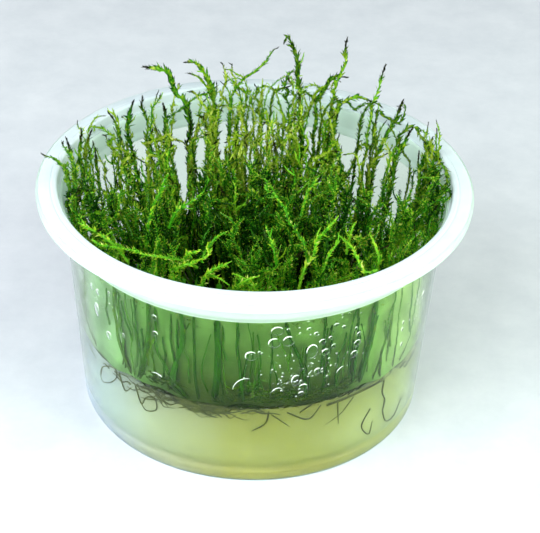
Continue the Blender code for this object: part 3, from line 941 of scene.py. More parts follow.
# Shoots that arch, loop and hook above the rest. Each has its width in mm, its tone, how far back it stands
# (its y, in mm), and the pixels of the photograph that it passes, from its lower end to its tip.
ARCHED_SHOOTS = (
    (2.3, 0.50, 29, ((190, 130), (188, 112), (183, 100), (174, 89), (171, 77), (163, 70), (145, 67))),
    (1.3, 0.45, 28, ((165, 126), (172, 116), (181, 109), (189, 103), (198, 96), (208, 93), (217, 86))),
    (2.2, 0.56, 30, ((215, 132), (214, 108), (213, 93), (209, 81), (203, 70), (196, 63), (187, 62))),
    (1.5, 0.58, 31, ((214, 102), (207, 88), (201, 79), (194, 75), (187, 73))),
    (1.2, 0.50, 30, ((230, 128), (231, 101), (228, 90), (221, 82))),
    (1.3, 0.52, 32, ((229, 114), (233, 94), (241, 82), (252, 73), (265, 63), (271, 52), (278, 48))),
    (0.8, 0.50, 31, ((243, 80), (237, 79), (230, 79), (224, 83))),
    (1.1, 0.55, 33, ((246, 130), (248, 112), (252, 97), (261, 87), (271, 88), (281, 94), (292, 95))),
    (0.9, 0.50, 31, ((262, 126), (264, 108), (268, 93), (276, 82), (286, 77), (295, 80))),
    (1.1, 0.60, 30, ((283, 126), (281, 110), (278, 98), (272, 87))),
    (1.0, 0.10, 27, ((190, 164), (187, 145), (191, 128), (188, 112))),
    (1.6, 0.50, 29, ((302, 150), (300, 120), (300, 95), (297, 75), (298, 60), (293, 47), (288, 37),
                     (284, 43))),
    (1.3, 0.52, 31, ((300, 92), (306, 92), (312, 98), (318, 97), (325, 89), (331, 80), (339, 81))),
    (1.1, 0.50, 27, ((329, 125), (333, 104), (341, 101), (348, 103), (354, 109), (361, 105), (367, 104),
                     (372, 108))),
    (1.2, 0.50, 22, ((374, 130), (378, 112), (384, 115), (392, 122), (400, 122), (404, 114), (404, 107),
                     (399, 106))),
    (1.3, 0.52, 14, ((392, 168), (396, 146), (402, 133), (409, 127), (416, 129), (421, 135), (425, 145))),
    (0.9, 0.58, 20, ((369, 170), (373, 152), (379, 133), (386, 121))),
    (0.9, 0.58, 15, ((410, 170), (403, 152), (395, 136), (388, 124))),
    (1.3, 0.50, 2, ((419, 200), (424, 182), (430, 171), (438, 164), (444, 167), (447, 176), (446, 190))),
    (1.2, 0.48, -3, ((437, 210), (440, 196), (446, 190), (451, 195), (452, 203))),
    (1.1, 0.55, 24, ((318, 150), (320, 130), (324, 113), (331, 103), (338, 98))),
    (1.2, 0.50, 26, ((357, 150), (360, 126), (366, 108), (374, 103), (382, 107))),
)

# How much paler the lying shoots are than their tones below.
LYING_LIFT = 0.02
# Bright shoots that lie over the front of the clump, each with its tone and its points from the tip back.
LYING_SHOOTS = (
    (0.50, ((-35, -28, 57), (-32.5, -29.5, 56.5), (-29.5, -29.5, 56), (-26.5, -29.5, 55.5), (-23, -30.5, 55),
           (-19, -30.5, 54.5), (-15.5, -30, 53.5), (-12, -29, 51))),
    (0.52, ((-9, -31, 57.5), (-10, -33, 56.5), (-11.5, -33.5, 56), (-14.5, -34, 55), (-16.5, -32.5, 53),
            (-18, -28.5, 50))),
    (0.52, ((-11.5, -31.5, 57), (-12, -32, 57.5), (-13.5, -32.5, 57), (-14.5, -31.5, 55), (-15, -30, 52))),
    (0.50, ((-5.5, -34, 55), (-7.5, -36, 56), (-9, -37, 55.5), (-10.5, -36.5, 52.5), (-11, -35, 49))),
    (0.50, ((-5, -39, 53.5), (-6.5, -38.5, 54.5), (-8.5, -37, 54.5), (-10, -35.5, 53))),
    (0.52, ((-4, -37, 55), (-2.5, -38, 55), (-1, -38.5, 54.5), (0.5, -38.5, 52.5), (1, -37, 49))),
    (0.52, ((1, -39, 56), (-1, -39.5, 55.5), (-2.5, -39, 54), (-3.5, -38, 52.5), (-4, -36, 49))),
    (0.50, ((18, -22.5, 61), (16, -25, 59.5), (14, -26.5, 58), (13, -28.5, 55), (11, -31, 52.5),
            (10, -32, 48))),
    (0.50, ((18.5, -25.5, 58), (20.5, -28, 57.5), (22, -30.5, 56.5), (23, -33.5, 55.5), (24.5, -35, 55),
           (26.5, -35.5, 56))),
    (0.50, ((18.5, -27.5, 58), (17, -29, 56.5), (16, -29.5, 55), (15, -30, 51))),
    (0.36, ((2.5, -6.5, 60), (3, -11, 60), (5, -13, 59.5), (6.5, -15, 58.5), (7.5, -18, 57), (9.5, -21.5, 56),
            (11, -24, 54.5), (12, -26, 51))),
    (0.40, ((14.5, -4, 60), (13, -5.5, 59), (11.5, -8, 57), (10.5, -10, 53))),
    (0.40, ((2.5, -23, 58.5), (3.5, -25.5, 57), (4.5, -28, 55), (5, -28.5, 52))),
    (0.50, ((22, -21, 58.5), (21, -21.5, 55.5), (20.5, -22, 51))),
    (0.52, ((25.5, -28, 59), (26.5, -29, 57), (27, -29.5, 55), (27, -29.5, 50))),
    (0.40, ((-19.5, -12, 64), (-21, -12.5, 60), (-22.5, -14, 57), (-23.5, -16.5, 53), (-24, -17, 48))),
    (0.40, ((-11.5, -12.5, 60), (-15, -13.5, 57.5), (-17.5, -14.5, 56), (-19, -15, 52))),
    (0.42, ((-6, -25, 58), (-9, -26, 56), (-11, -26.5, 52))),
    (0.50, ((-38.5, -21.5, 57), (-34, -24, 56), (-30, -28, 55.5), (-27, -29, 52))),
)

# Shoots that stand against the wall, each with its width and its turn and height from the top down.
WALL_SHOOTS = (
    (1.5, ((-50, 44.1), (-50, 36.0), (-51, 31.4), (-53, 23.8))),
    (0.55, ((-42, 44.2), (-44, 40.3), (-44, 34.1), (-46, 26.3), (-48, 22.4))),
    (0.5, ((-39, 44), (-39, 38.2), (-38, 31.8), (-38, 23.1), (-39, 21.5))),
    (0.5, ((-33, 43.6), (-32, 36.6), (-30, 29.6))),
    (0.4, ((-29, 44), (-29, 36.9), (-29, 31.4), (-30, 26.7), (-36, 21.5))),
    (0.5, ((-17, 34), (-20, 26), (-24, 23), (-35, 21.3))),
    (0.6, ((-171, 40), (-171, 27.8), (-166, 23.5), (-152, 22.4), (-141, 21.3))),
    (0.6, ((-162, 44), (-160, 34), (-154, 26), (-146, 21.6))),
    (0.8, ((-136, 44.4), (-136, 34.7), (-134, 27.7), (-130, 22.7))),
    (0.55, ((-131, 44.2), (-129, 35.3), (-130, 28.7), (-129, 22.6))),
    (0.6, ((-127, 46.1), (-127, 38.3), (-126, 30.0), (-128, 22.7))),
    (1.2, ((-122, 44.7), (-123, 36.1), (-125, 29.8), (-127, 23.3))),
    (1.3, ((-111, 44.6), (-111, 38.2), (-114, 30.5), (-115, 25.5))),
    (0.7, ((-107, 44.7), (-107, 37.0), (-107, 29.4), (-106, 23))),
    (1.6, ((-100, 45.8), (-100, 38.2), (-100, 33.0), (-101, 24))),
    (0.8, ((-120, 36.0), (-117, 29.7), (-112, 24.4), (-107, 21.3))),
    (0.7, ((-113, 30.1), (-115, 25.6), (-112, 23.4), (-106, 21.2))),
    (0.8, ((-94, 45.5), (-94, 39.6), (-93, 32.0), (-92, 24))),
    (0.9, ((-80, 46.0), (-78, 40.8), (-74, 32.9), (-72, 24))),
    (0.7, ((-68, 44.4), (-68, 36.6), (-68, 30.2))),
    (0.7, ((-57, 44.4), (-56, 36.6), (-56, 25.2))),
)

# Places on top with no common shoots, where the eye looks down between them: x, y and radius in mm.
DARK_HOLES = ((-13.5, -36, 2.6), (-7, -36, 2.0), (-23.5, -32.5, 2.2), (-2.5, -18, 2.2), (5, -37.5, 2.4))
# Where the far wall shows between shoots of the back: left, top, right and bottom pixels of the photograph.
SEEN_GAPS = (
    (132, 106, 150, 138),
    (181, 118, 185, 136),
    (178, 156, 187, 183),
    (196, 140, 205, 166),
    (222, 112, 227, 140),
    (309, 118, 319, 150),
    (340, 114, 345, 146),
    (350, 112, 358, 142),
    (351, 168, 358, 208),
    (372, 180, 378, 204),
    (391, 168, 395, 212),
    (402, 150, 417, 194),
)
# Where the eye looks down between shoots near the front rim, in the same pixels.
FRONT_HOLES = (
    (123, 252, 142, 264),
    (185, 265, 195, 283),
    (207, 280, 230, 288),
    (214, 267, 234, 280),
    (188, 236, 196, 246),
    (242, 222, 247, 244),
    (296, 268, 312, 282),
    (350, 250, 360, 262),
)
# How far to the side a shoot that would stand in a gap may be moved, in mm.
GAP_SHIFTS = (1.5, -1.5, 3.0, -3.0, 4.5, -4.5, 6.0, -6.0, 7.5, -7.5)
# How far shoots stay off the wall, low down in front, where it is misted over.
OFF_WALL = 1.7
# That applies below the shoulder and in front of this y, and comes in over these heights and depths, in mm.
OFF_WALL_RISE, OFF_WALL_FRONT, OFF_WALL_FADE = 6.0, 8.0, 4.0
# Shoots are drawn in from the sides below this height, the more the lower, up to this share.
GATHER_TOP, GATHER_DEPTH, GATHER_SHARE = 46.0, 24.0, 0.27
# How far a shoot may reach over the rim, and how far one may that stays inside the mouth.
OVER_RIM = FLANGE_RADIUS - 1
IN_MOUTH = MOUTH_RADIUS - 1
# How many common shoots are asked for, and where their bunches are rooted: spacing and radius in mm.
COMMON_SHOOTS = 720
ROOT_SPACING, ROOT_RADIUS = 5.0, 38.0
ROOT_TRIES = 6000
# Tips of common shoots: how far from the axis they stand, how far apart they are at the front, and how much
# farther at the back.
TIP_RADIUS = 43.0
TIP_SPACING, TIP_SPACING_BACK = 1.7, 1.1
TIP_TRIES = 60000
# None stands behind this y and beyond this radius, where the far wall shows.
BARE_Y, BARE_RADIUS = 24, 38.0
# A shoot grows from the bunch that is rooted nearest to this share of its tip's place.
ROOT_SHARE = 0.88
# Where the open part of the clump starts on the right and on the left, as how far back it is.
OPEN_RIGHT, OPEN_LEFT = 0.42, 0.3
# The shares of common shoots that are left out behind the middle: at the back left, on the left, elsewhere.
THINNED_BACK_LEFT, THINNED_LEFT, THINNED = 0.42, 0.05, 0.2
# Low shoots behind the middle. From this number on they are the taller ones, at the left and the middle.
LOW_SHOOTS, FIRST_TALLER = 215, 150
# Arched shoots that start to the right of this pixel are browner and fuller.
RIGHT_PIXEL = 290
# The finer strands on the wall: their number, the turn they gather about and how far they spread.
FINE_WALL_SHOOTS = 52
FINE_TURN, FINE_SPREAD, FINE_ENDS = -90, 36, (-160, -20)
# A strand wider than this, in mm, is drawn fuller.
BROAD_STRAND = 0.65
# Strands that start low run up behind the neck to here.
STRAND_TOP = 54.0
# Shoots at the wall are lit from the side beyond so many degrees from this turn, over so many degrees more.
LIT_MIDDLE, LIT_FROM, LIT_FADE = -85, 28, 20


def falls_in(places, path):
    """Whether a shoot would cross one of the given places of the photograph."""
    across, down = pixels_of(path)
    return any(
        ((across > left) & (across < right) & (down > top) & (down < bottom)).any()
        for left, top, right, bottom in places
    )


def clusters(rng, spacing, radius):
    """Places on the gel where bunches of shoots are rooted, no two nearer than the spacing."""
    found = []
    for _ in range(ROOT_TRIES):
        r = radius * math.sqrt(rng.random())
        turn = rng.uniform(0, 2 * math.pi)
        p = np.array([r * math.cos(turn), r * math.sin(turn)])
        if all(np.hypot(*(p - q)) > spacing for q in found):
            found.append(p)
    return np.array(found)


def keep_in_cup(path, half_width, off_wall=0.0, over_rim=OVER_RIM):
    """Holds a path inside the cup's wall, neck and mouth, and within over_rim above them. Low down in
    front it also stays off the wall."""
    z = path[:, 2]
    r = np.hypot(path[:, 0], path[:, 1])
    low_in_front = np.clip((SHOULDER_Z - z) / OFF_WALL_RISE, 0, 1)
    low_in_front = low_in_front * np.clip((OFF_WALL_FRONT - path[:, 1]) / OFF_WALL_FADE, 0, 1)
    limit = inner_wall_radius(z) - half_width - off_wall * low_in_front
    limit = np.where(z > SHOULDER_Z + 1, NECK_RADIUS - WALL - half_width, limit)
    limit = np.where(z > CUP_HEIGHT - 2, MOUTH_RADIUS - half_width, limit)
    limit = np.where(z > CUP_HEIGHT + half_width, over_rim, limit)
    path = path.copy()
    path[:, :2] *= np.minimum(1, limit / np.maximum(r, 1e-6))[:, None]
    return path


def gathered_in(path):
    """Draws a path in from the side walls low down: the clump is rooted in the middle of the cup."""
    low = np.clip((GATHER_TOP - path[:, 2]) / GATHER_DEPTH, 0, 1)
    path = path.copy()
    path[:, 0] *= 1 - GATHER_SHARE * low
    return path


def wander(rng, path, size, wave):
    """Adds a gentle wander to a path, with none at its foot."""
    run = run_along(path)
    grow = np.clip(run / (0.3 * run[-1]), 0, 1)[:, None]
    shift = np.zeros_like(path)
    for share in (1.0, 0.4):
        phase = rng.uniform(0, 2 * math.pi, 3)
        pull = rng.normal(0, size * share, 3)
        shift += pull * np.sin(run[:, None] / (wave * share) * 2 * math.pi + phase)
    return path + shift * grow


def side_branches(thicket, rng, path, tone, habit, size, number, reach, longest, inside=False):
    """Short side shoots off the top of a shoot. With inside, they stay inside the mouth too."""
    ahead = unit(np.gradient(path, axis=0))
    for _ in range(number):
        back = rng.uniform(0.08, 1.0) * reach
        at = max(0, len(path) - 1 - int(back / PATH_STEP))
        out = unit(np.cross(ahead[at], rng.normal(0, 1, 3)))
        spread = rng.uniform(0.5, 1.15)
        aim = ahead[at] * math.cos(spread) + out * math.sin(spread)
        length = rng.uniform(0.35, 1.0) * min(longest, 2.0 + back)
        bend = unit(aim + ahead[at] * rng.uniform(-0.2, 0.8) + rng.normal(0, 0.35, 3))
        middle = path[at] + aim * length * 0.5
        branch = curve_through([path[at], middle, middle + bend * length * 0.5])
        branch_size = size * rng.uniform(0.7, 0.95)
        branch = keep_in_cup(branch, 0.7 * branch_size, OFF_WALL, IN_MOUTH if inside else OVER_RIM)
        if falls_in(FRONT_HOLES, branch) and branch[0, 1] < -10:
            continue
        branch_tone = float(np.clip(tone + rng.normal(0.05, 0.06), 0, 1))
        shoot(thicket, rng, branch, branch_tone, habit, branch_size)


def crowded(x, y, spacing, others):
    """Whether a place is nearer than the spacing to one of the others."""
    return any((x - a) ** 2 + (y - b) ** 2 < spacing**2 for a, b in others)


def how_far_back(y):
    """0 at the front of the clump and 1 at its back."""
    return (y + 42) / 84


def shoot_places(rng, number):
    """Where the tips of the common shoots are: close at the front, and open at the back."""
    places = []
    for _ in range(TIP_TRIES):
        if len(places) == number:
            break
        r = TIP_RADIUS * math.sqrt(rng.random())
        turn = rng.uniform(0, 2 * math.pi)
        x, y = r * math.cos(turn), r * math.sin(turn)
        back = how_far_back(y)
        if y > BARE_Y and r > BARE_RADIUS:
            continue
        if any((x - a) ** 2 + (y - b) ** 2 < size**2 for a, b, size in DARK_HOLES):
            continue
        if crowded(x, y, TIP_SPACING + TIP_SPACING_BACK * back, places):
            continue
        places.append((x, y))
    return places


def common_shoots(thickets, rng):
    """The bulk of the clump: feathery shoots close together in front, rope-like and open at the back."""
    roots = clusters(rng, ROOT_SPACING, ROOT_RADIUS)
    for number, (x, y) in enumerate(shoot_places(rng, COMMON_SHOOTS)):
        thicket = thickets[number % len(thickets)]
        r = math.hypot(x, y)
        back = how_far_back(y)
        near_wall = r > 33
        at_back = rng.random() < (back - (OPEN_RIGHT if x > -15 else OPEN_LEFT)) * 5
        distance = np.hypot(roots[:, 0] - x * ROOT_SHARE, roots[:, 1] - y * ROOT_SHARE)
        root = roots[distance.argmin()] + rng.normal(0, 0.9 if y < 0 else 2.0, 2)
        tip = rng.uniform(4.0, 10.0)
        top = canopy_height(y) + rng.normal(-1.0 + 3.5 * back, 2.0 + 1.6 * back)
        low = np.array([root[0], root[1], ROOT_Z])
        neck = np.array([x, y, top - tip])
        out = np.array([x, y, 0.0]) / max(r, 1.0)
        knee = low + (neck - low) * 0.5 + out * rng.uniform(0, 2.0) + rng.normal(0, 0.8, 3)
        turn = rng.uniform(0, 2 * math.pi)
        towards = np.array([math.cos(turn), math.sin(turn), 0.0])
        ahead = unit(unit(neck - knee) + rng.normal(0, 0.12, 3))
        if at_back:
            bend = rng.uniform(1.4, 2.7) if rng.random() < 0.45 else rng.uniform(0.1, 0.9)
        else:
            bend = rng.uniform(0.2, 1.7)
        points = [low, knee, neck] + crook(neck, ahead, towards, tip * (1.0 + 0.12 * bend), bend)
        path = gathered_in(wander(rng, curve_through(points), 0.5 if at_back else 0.28, 11.0))
        rope = at_back and rng.random() < 0.7
        habit = ROPE if rope or rng.random() < 0.12 else FEATHER
        size = rng.uniform(0.8, 1.25)
        path = keep_in_cup(path, 0.75 * size, OFF_WALL, IN_MOUTH)
        if x < -22 and y > 2:
            thinned = THINNED_BACK_LEFT
        else:
            thinned = THINNED_LEFT if x < 0 and y < 22 else THINNED
        if y > 2 and rng.random() < thinned:
            continue
        if y < -10 and falls_in(FRONT_HOLES, path):
            continue
        if y > -12:
            shifts = [np.array((shift, 0.0, 0.0)) for shift in (0.0, *rng.permutation(GAP_SHIFTS))]
            free = [path + shift for shift in shifts if not falls_in(SEEN_GAPS, path + shift)]
            if not free:
                continue
            path = keep_in_cup(free[0], 0.75 * size, OFF_WALL, IN_MOUTH)
        if at_back:
            tone = rng.normal(0.7, 0.12)
        elif rng.random() < 0.4:
            tone = rng.normal(0.49, 0.05)
        else:
            tone = 0.02 + rng.gamma(2.0, 0.065)
        tone = float(np.clip(tone, 0.03, 0.84 if y > 5 else 0.54))
        dark = rng.uniform(1.2, 3.2) if rng.random() < (0.85 if at_back else 0.12) else 0.0
        leafy = 24.0 if near_wall and y < 10 else 34.0
        dull = rng.uniform(0.0, 0.28) if at_back else 0.0
        shoot(thicket, rng, path, tone, habit, size, dark, leafy, 0.5 if near_wall else 0.12, dull)
        fewest, most, longest = (0, 2, 4.0) if at_back else (1, 5, 7.0)
        side_branches(thicket, rng, path, tone, habit, size, rng.integers(fewest, most), 12.0, longest, True)


def low_shoots(thickets, rng):
    """Short shoots that cover the gel where the tall ones stand apart, at the back, and some taller ones
    behind the left and the middle."""
    for number in range(LOW_SHOOTS):
        taller = number >= FIRST_TALLER
        r = 38.0 * math.sqrt(rng.random())
        turn = rng.uniform(1.3, math.pi) if taller else rng.uniform(-0.2, math.pi + 0.2)
        low = np.array([r * math.cos(turn), r * math.sin(turn), ROOT_Z])
        lean = rng.normal(0, 2.5, 3) * (1, 1, 0)
        high = low + lean + (0, 0, rng.uniform(12.0, 24.0) if taller else rng.uniform(5.0, 15.0))
        middle = (low + high) / 2 + rng.normal(0, 0.8, 3)
        size = rng.uniform(0.9, 1.3)
        path = keep_in_cup(wander(rng, curve_through([low, middle, high]), 0.3, 7.0), 0.7 * size)
        if taller and falls_in(SEEN_GAPS, path):
            continue
        shoot(thickets[number % len(thickets)], rng, path, rng.uniform(0.3, 0.6), FEATHER, size, thin=0.6)


def rooted(points, free_above):
    """A shoot's points with its root and a knee put before them, unless it starts above a height."""
    x, y, z = points[0]
    if z >= free_above:
        return points
    return [(x * 0.86, y * 0.86, ROOT_Z), (x * 0.95, y * 0.95, (GEL_TOP + z) / 2), *points]


def tall_shoots(thickets, rng):
    """The tall shoots that stand out of the clump."""
    for number, points in enumerate(TALL_SHOOTS):
        thicket = thickets[number % len(thickets)]
        path = wander(rng, curve_through(rooted(points, 60)), 0.12, 8.0)
        size = rng.uniform(1.1, 1.5)
        path = keep_in_cup(path, 0.6 * size)
        tone = float(np.clip(rng.normal(0.56, 0.06), 0.2, 0.9))
        dull = rng.uniform(0.05, 0.35)
        shoot(thicket, rng, path, tone, ROPE, size, rng.uniform(2.5, 6.0), 30.0, dull=dull)
        side_branches(thicket, rng, path, tone, ROPE, size, rng.integers(0, 2), 16.0, 3.5)


def arched_shoots(thickets, rng):
    """The shoots that arch and hook, each held where the photograph shows it."""
    for number, (width, tone, depth, pixels) in enumerate(ARCHED_SHOOTS):
        points = rooted([behind_pixel(px, py, depth) for px, py in pixels], 58)
        size = width / 1.3
        path = keep_in_cup(wander(rng, curve_through(points), 0.08, 6.0), 0.5 * width)
        thicket = thickets[number % len(thickets)]
        dark = rng.uniform(1.5, 3.0)
        at_right = pixels[0][0] > RIGHT_PIXEL
        dull = 0.75 if tone < 0.2 else rng.uniform(0.1, 0.35) + (0.3 if at_right else 0.0)
        shoot(thicket, rng, path, tone, ROPE, size * (1.25 if at_right else 1.0), dark, 30.0, 0.2, dull)
        side_branches(thicket, rng, path, tone, ROPE, 0.7 * size, rng.integers(0, 3), 14.0, 3.0)


def lying_shoots(thickets, rng):
    """The bright shoots that lie over the others in front."""
    for number, (tone, points) in enumerate(LYING_SHOOTS):
        thicket = thickets[number % len(thickets)]
        path = keep_in_cup(wander(rng, curve_through(points[::-1]), 0.1, 5.0), 0.5)
        tone += LYING_LIFT
        shoot(thicket, rng, path, tone, LAID, rng.uniform(1.15, 1.5))
        side_branches(thicket, rng, path, tone, LAID, 1.0, 2, 8.0, 3.0)


def at_wall(turn_degrees, z, inset):
    """The point at a turn and a height that lies inset mm in from the wall's inner face."""
    turn = math.radians(turn_degrees)
    r = inner_wall_radius(z) - inset
    return np.array([r * math.cos(turn), r * math.sin(turn), z])


def lit_from_the_side(turn_degrees):
    """How much light comes through shoots at the wall there, from 0 in the middle to 1 at the sides."""
    return float(np.clip((abs(turn_degrees - LIT_MIDDLE) - LIT_FROM) / LIT_FADE, 0, 1))


def wall_shoots(thickets, rng):
    """The strands that lie flat on the wall."""
    for number, (width, points) in enumerate(WALL_SHOOTS):
        turn, z = points[0]
        top = [at_wall(turn, STRAND_TOP, 1.5 + 0.5 * width)] if z < 50 else []
        way = top + [at_wall(t, h, 0.55 * width + 0.1) for t, h in points]
        path = wander(rng, curve_through(way[::-1]), 0.1, 9.0)
        path = keep_in_cup(path, 0.5 * width)
        by_side = lit_from_the_side(points[0][0])
        # Painted light: strands are painted paler and less brown towards the sides, where light comes
        # through.
        tone = rng.uniform(0.32, 0.42) + 0.14 * by_side
        dull = rng.uniform(0.42, 0.56) * (1 - 0.5 * by_side)
        size = (1.25 if width > BROAD_STRAND else 0.95) * width
        shoot(thickets[number % len(thickets)], rng, path, tone, PRESSED, size, dull=dull, thin=0.9)
    # Finer ones between them, some bright and some dull, that touch the wall for part of their height.
    for number in range(FINE_WALL_SHOOTS):
        turn = float(np.clip(rng.normal(FINE_TURN, FINE_SPREAD), *FINE_ENDS))
        top = rng.uniform(36, 47)
        foot = max(GEL_TOP + 1.0, top - rng.uniform(8, 26))
        drift = np.cumsum(rng.normal(0, 0.9, 4))
        inset = rng.uniform(0.4, 1.3)
        way = [at_wall(turn + side, z, inset) for side, z in zip(drift, np.linspace(foot, top, 4))]
        path = wander(rng, curve_through(way), 0.1, 6.0)
        width = rng.uniform(0.25, 0.65)
        path = keep_in_cup(path, 0.5 * width)
        by_side = lit_from_the_side(turn)
        # Painted light: strands are painted paler and less brown towards the sides, where light comes
        # through.
        tone = rng.uniform(0.32, 0.54) + 0.08 * by_side
        dull = rng.uniform(0.2, 0.6) * (1 - 0.5 * by_side)
        shoot(thickets[number % len(thickets)], rng, path, tone, PRESSED, 1.25 * width, dull=dull, thin=0.9)


# How many old shoots make the mat, and how many more each hump.
FELT_SHOOTS, HUMP_SHOOTS = 300, 55
# The turn that the mat is thickest about, how far it spreads and its ends, in degrees.
FELT_TURN, FELT_SPREAD, FELT_ENDS = -90, 18, (-126, -50)
# Humps of the brown mat against the wall: turn, height and radius in mm.
FELT_HUMPS = (
    (-120, 24.2, 3.0),
    (-90, 25.6, 3.6),
    (-82, 25.2, 2.2),
    (-74, 23.4, 2.0),
    (-68, 23.2, 2.2),
    (-62, 23.8, 2.2),
)


def felt(thickets, rng):
    """Old brown shoots that lie matted on the gel, thickest against the wall and heaped in a few humps."""
    starts = []
    for _ in range(FELT_SHOOTS):
        if rng.random() < 0.35:
            turn = rng.uniform(0, 180)
        else:
            turn = float(np.clip(rng.normal(FELT_TURN, FELT_SPREAD), *FELT_ENDS))
        inset = 0.35 + rng.exponential(0.9)
        starts.append((turn, GEL_TOP + rng.uniform(0.2, 0.8) + rng.exponential(1.1), inset))
    for turn, z, radius in FELT_HUMPS:
        for _ in range(HUMP_SHOOTS):
            reach = radius * math.sqrt(rng.random())
            angle = rng.uniform(0, 2 * math.pi)
            side = math.degrees(reach * math.cos(angle) / inner_wall_radius(z))
            starts.append((turn + side, z + reach * math.sin(angle) - 0.6, 0.35 + rng.exponential(0.5)))
    for number, (turn, z, inset) in enumerate(starts):
        start = at_wall(turn, z, inset)
        heading = math.radians(turn)
        around = np.array([-math.sin(heading), math.cos(heading), 0.0]) * rng.choice([-1, 1])
        length = rng.uniform(2.5, 6.5)
        lean = rng.normal(0, 0.35, 3) + np.array([0, 0, abs(rng.normal(0, 0.3))])
        middle = start + unit(around + lean) * length * 0.5
        end = middle + unit(around + rng.normal(0, 0.5, 3)) * length * 0.5
        path = wander(rng, curve_through([start, middle, end]), 0.3, 4.0)
        path[:, 2] = np.maximum(path[:, 2], GEL_TOP + 0.3)
        path = keep_in_cup(path, 0.4)
        thicket = thickets[number % len(thickets)]
        tone = rng.uniform(0.4, 0.6)
        size = rng.uniform(0.5, 0.8)
        shoot(thicket, rng, path, tone, LAID, size, 0, 90, 0.55, rng.uniform(0.4, 0.75))


def moss(material):
    """All the moss, dealt out to five pieces so that none is too large."""
    rng = np.random.default_rng(71)
    thickets = [Thicket() for _ in range(5)]
    for grow in (common_shoots, low_shoots, tall_shoots, arched_shoots, lying_shoots, wall_shoots, felt):
        grow(thickets, rng)
    return [thicket.join(f"moss_shoots_{i + 1}", material) for i, thicket in enumerate(thickets)]


# ---------------------------------------------------------------- rooting threads

# The tangle under the gel's edge: how many threads, the turn it is thickest about and how far it spreads.
TANGLE_THREADS = 130
TANGLE_TURN, TANGLE_SPREAD = -110, 9
# Threads in the gel against the wall, each with its thickness and its turn and height.
WALL_THREADS = (
    (0.32, ((-148, 15.6), (-146, 18.7), (-141, 21.2), (-138, 21.5), (-138, 19.2), (-142, 16), (-147, 14),
            (-148, 15.6))),
    (0.36, ((-136, 21.5), (-136, 20.5), (-134, 17.1), (-131, 19.1))),
    (0.36, ((-129, 20.5), (-127, 15.9), (-125, 18.3), (-123, 19.3), (-121, 18.8), (-121, 16.2), (-124, 14.7),
            (-126, 14.8), (-127.5, 17))),
    (0.42, ((-84, 21), (-84, 20.1), (-85, 17.4), (-89, 15.3))),
    (0.3, ((-83, 20.1), (-80, 18.1), (-77, 16))),
    (0.36, ((-78, 20.3), (-71, 17.5), (-67, 21))),
    (0.34, ((-74, 19.9), (-70, 21.9))),
    (0.3, ((-61, 21), (-61, 19.6), (-60, 13.6))),
    (0.6, ((-65, 20.5), (-59, 20.8), (-53, 21.1), (-48, 21.1), (-42, 20.6))),
    (0.34, ((-47, 14), (-50, 9.8), (-46, 5.8), (-45, 9.4))),
    (0.4, ((-42, 20.6), (-42, 17), (-40, 14.1), (-40, 11.9), (-40, 10.2), (-37, 6.1), (-32, 5.5),
           (-28, 8.9))),
)


def wall_threads(material):
    """Rooting threads in the gap between the gel and the wall."""
    rng = np.random.default_rng(19)
    thicket = Thicket()
    inset = GAP * 0.6

    def lay(points, thickness):
        path = curve_through([at_wall(t, h, inset) for t, h in points], 0.4)
        ahead = unit(np.gradient(path, axis=0))
        side, front = crosswise(ahead, np.zeros(len(path)))
        size = thickness / 2 * np.interp(np.linspace(0, 1, len(path)), [0, 0.7, 1], [1, 0.85, 0.4])
        body, faces = tube(path, side, front, size, 6)
        thicket.put(body, faces, np.zeros((len(body), 4)))

    for thickness, points in WALL_THREADS:
        lay(points, thickness)
    # A tangle just under the gel's edge, thickest at the front left.
    for _ in range(TANGLE_THREADS):
        turn = rng.normal(TANGLE_TURN, TANGLE_SPREAD) if rng.random() < 0.6 else rng.uniform(-180, 180)
        z = GEL_TOP + 0.8 - abs(rng.normal(0, 0.8))
        points = [(turn, z)]
        heading = rng.choice([-1, 1])
        for _ in range(rng.integers(2, 5)):
            turn += heading * rng.uniform(1.0, 3.2)
            z = min(z + rng.normal(-0.15, 0.7), GEL_TOP + 1.2)
            points.append((turn, z))
        lay(points, rng.uniform(0.14, 0.42))
    return thicket.join("rooting_threads", material)


# ---------------------------------------------------------------- condensed water

# The angle at which a drop meets the plastic, and how far it stands off the wall's outer face, in mm.
DROP_ANGLE = 18.0
DROP_GAP = 0.01

# A drop this wide or more is so flat that only part of its edge shows: it is drawn as a painted highlight arc
# alone.
LARGE_DROP = 3.5

# Drops narrower than this, in front, get a painted dark middle, up to this share of the way out to their
# edge.
EYED_DROP = 2.0
EYE_SHARE = 0.42
# The way a drop's painted highlight arc faces, in degrees, to the right and to the left of a turn.
ARC_RIGHT, ARC_LEFT, ARC_TURN = 118, 75, -108

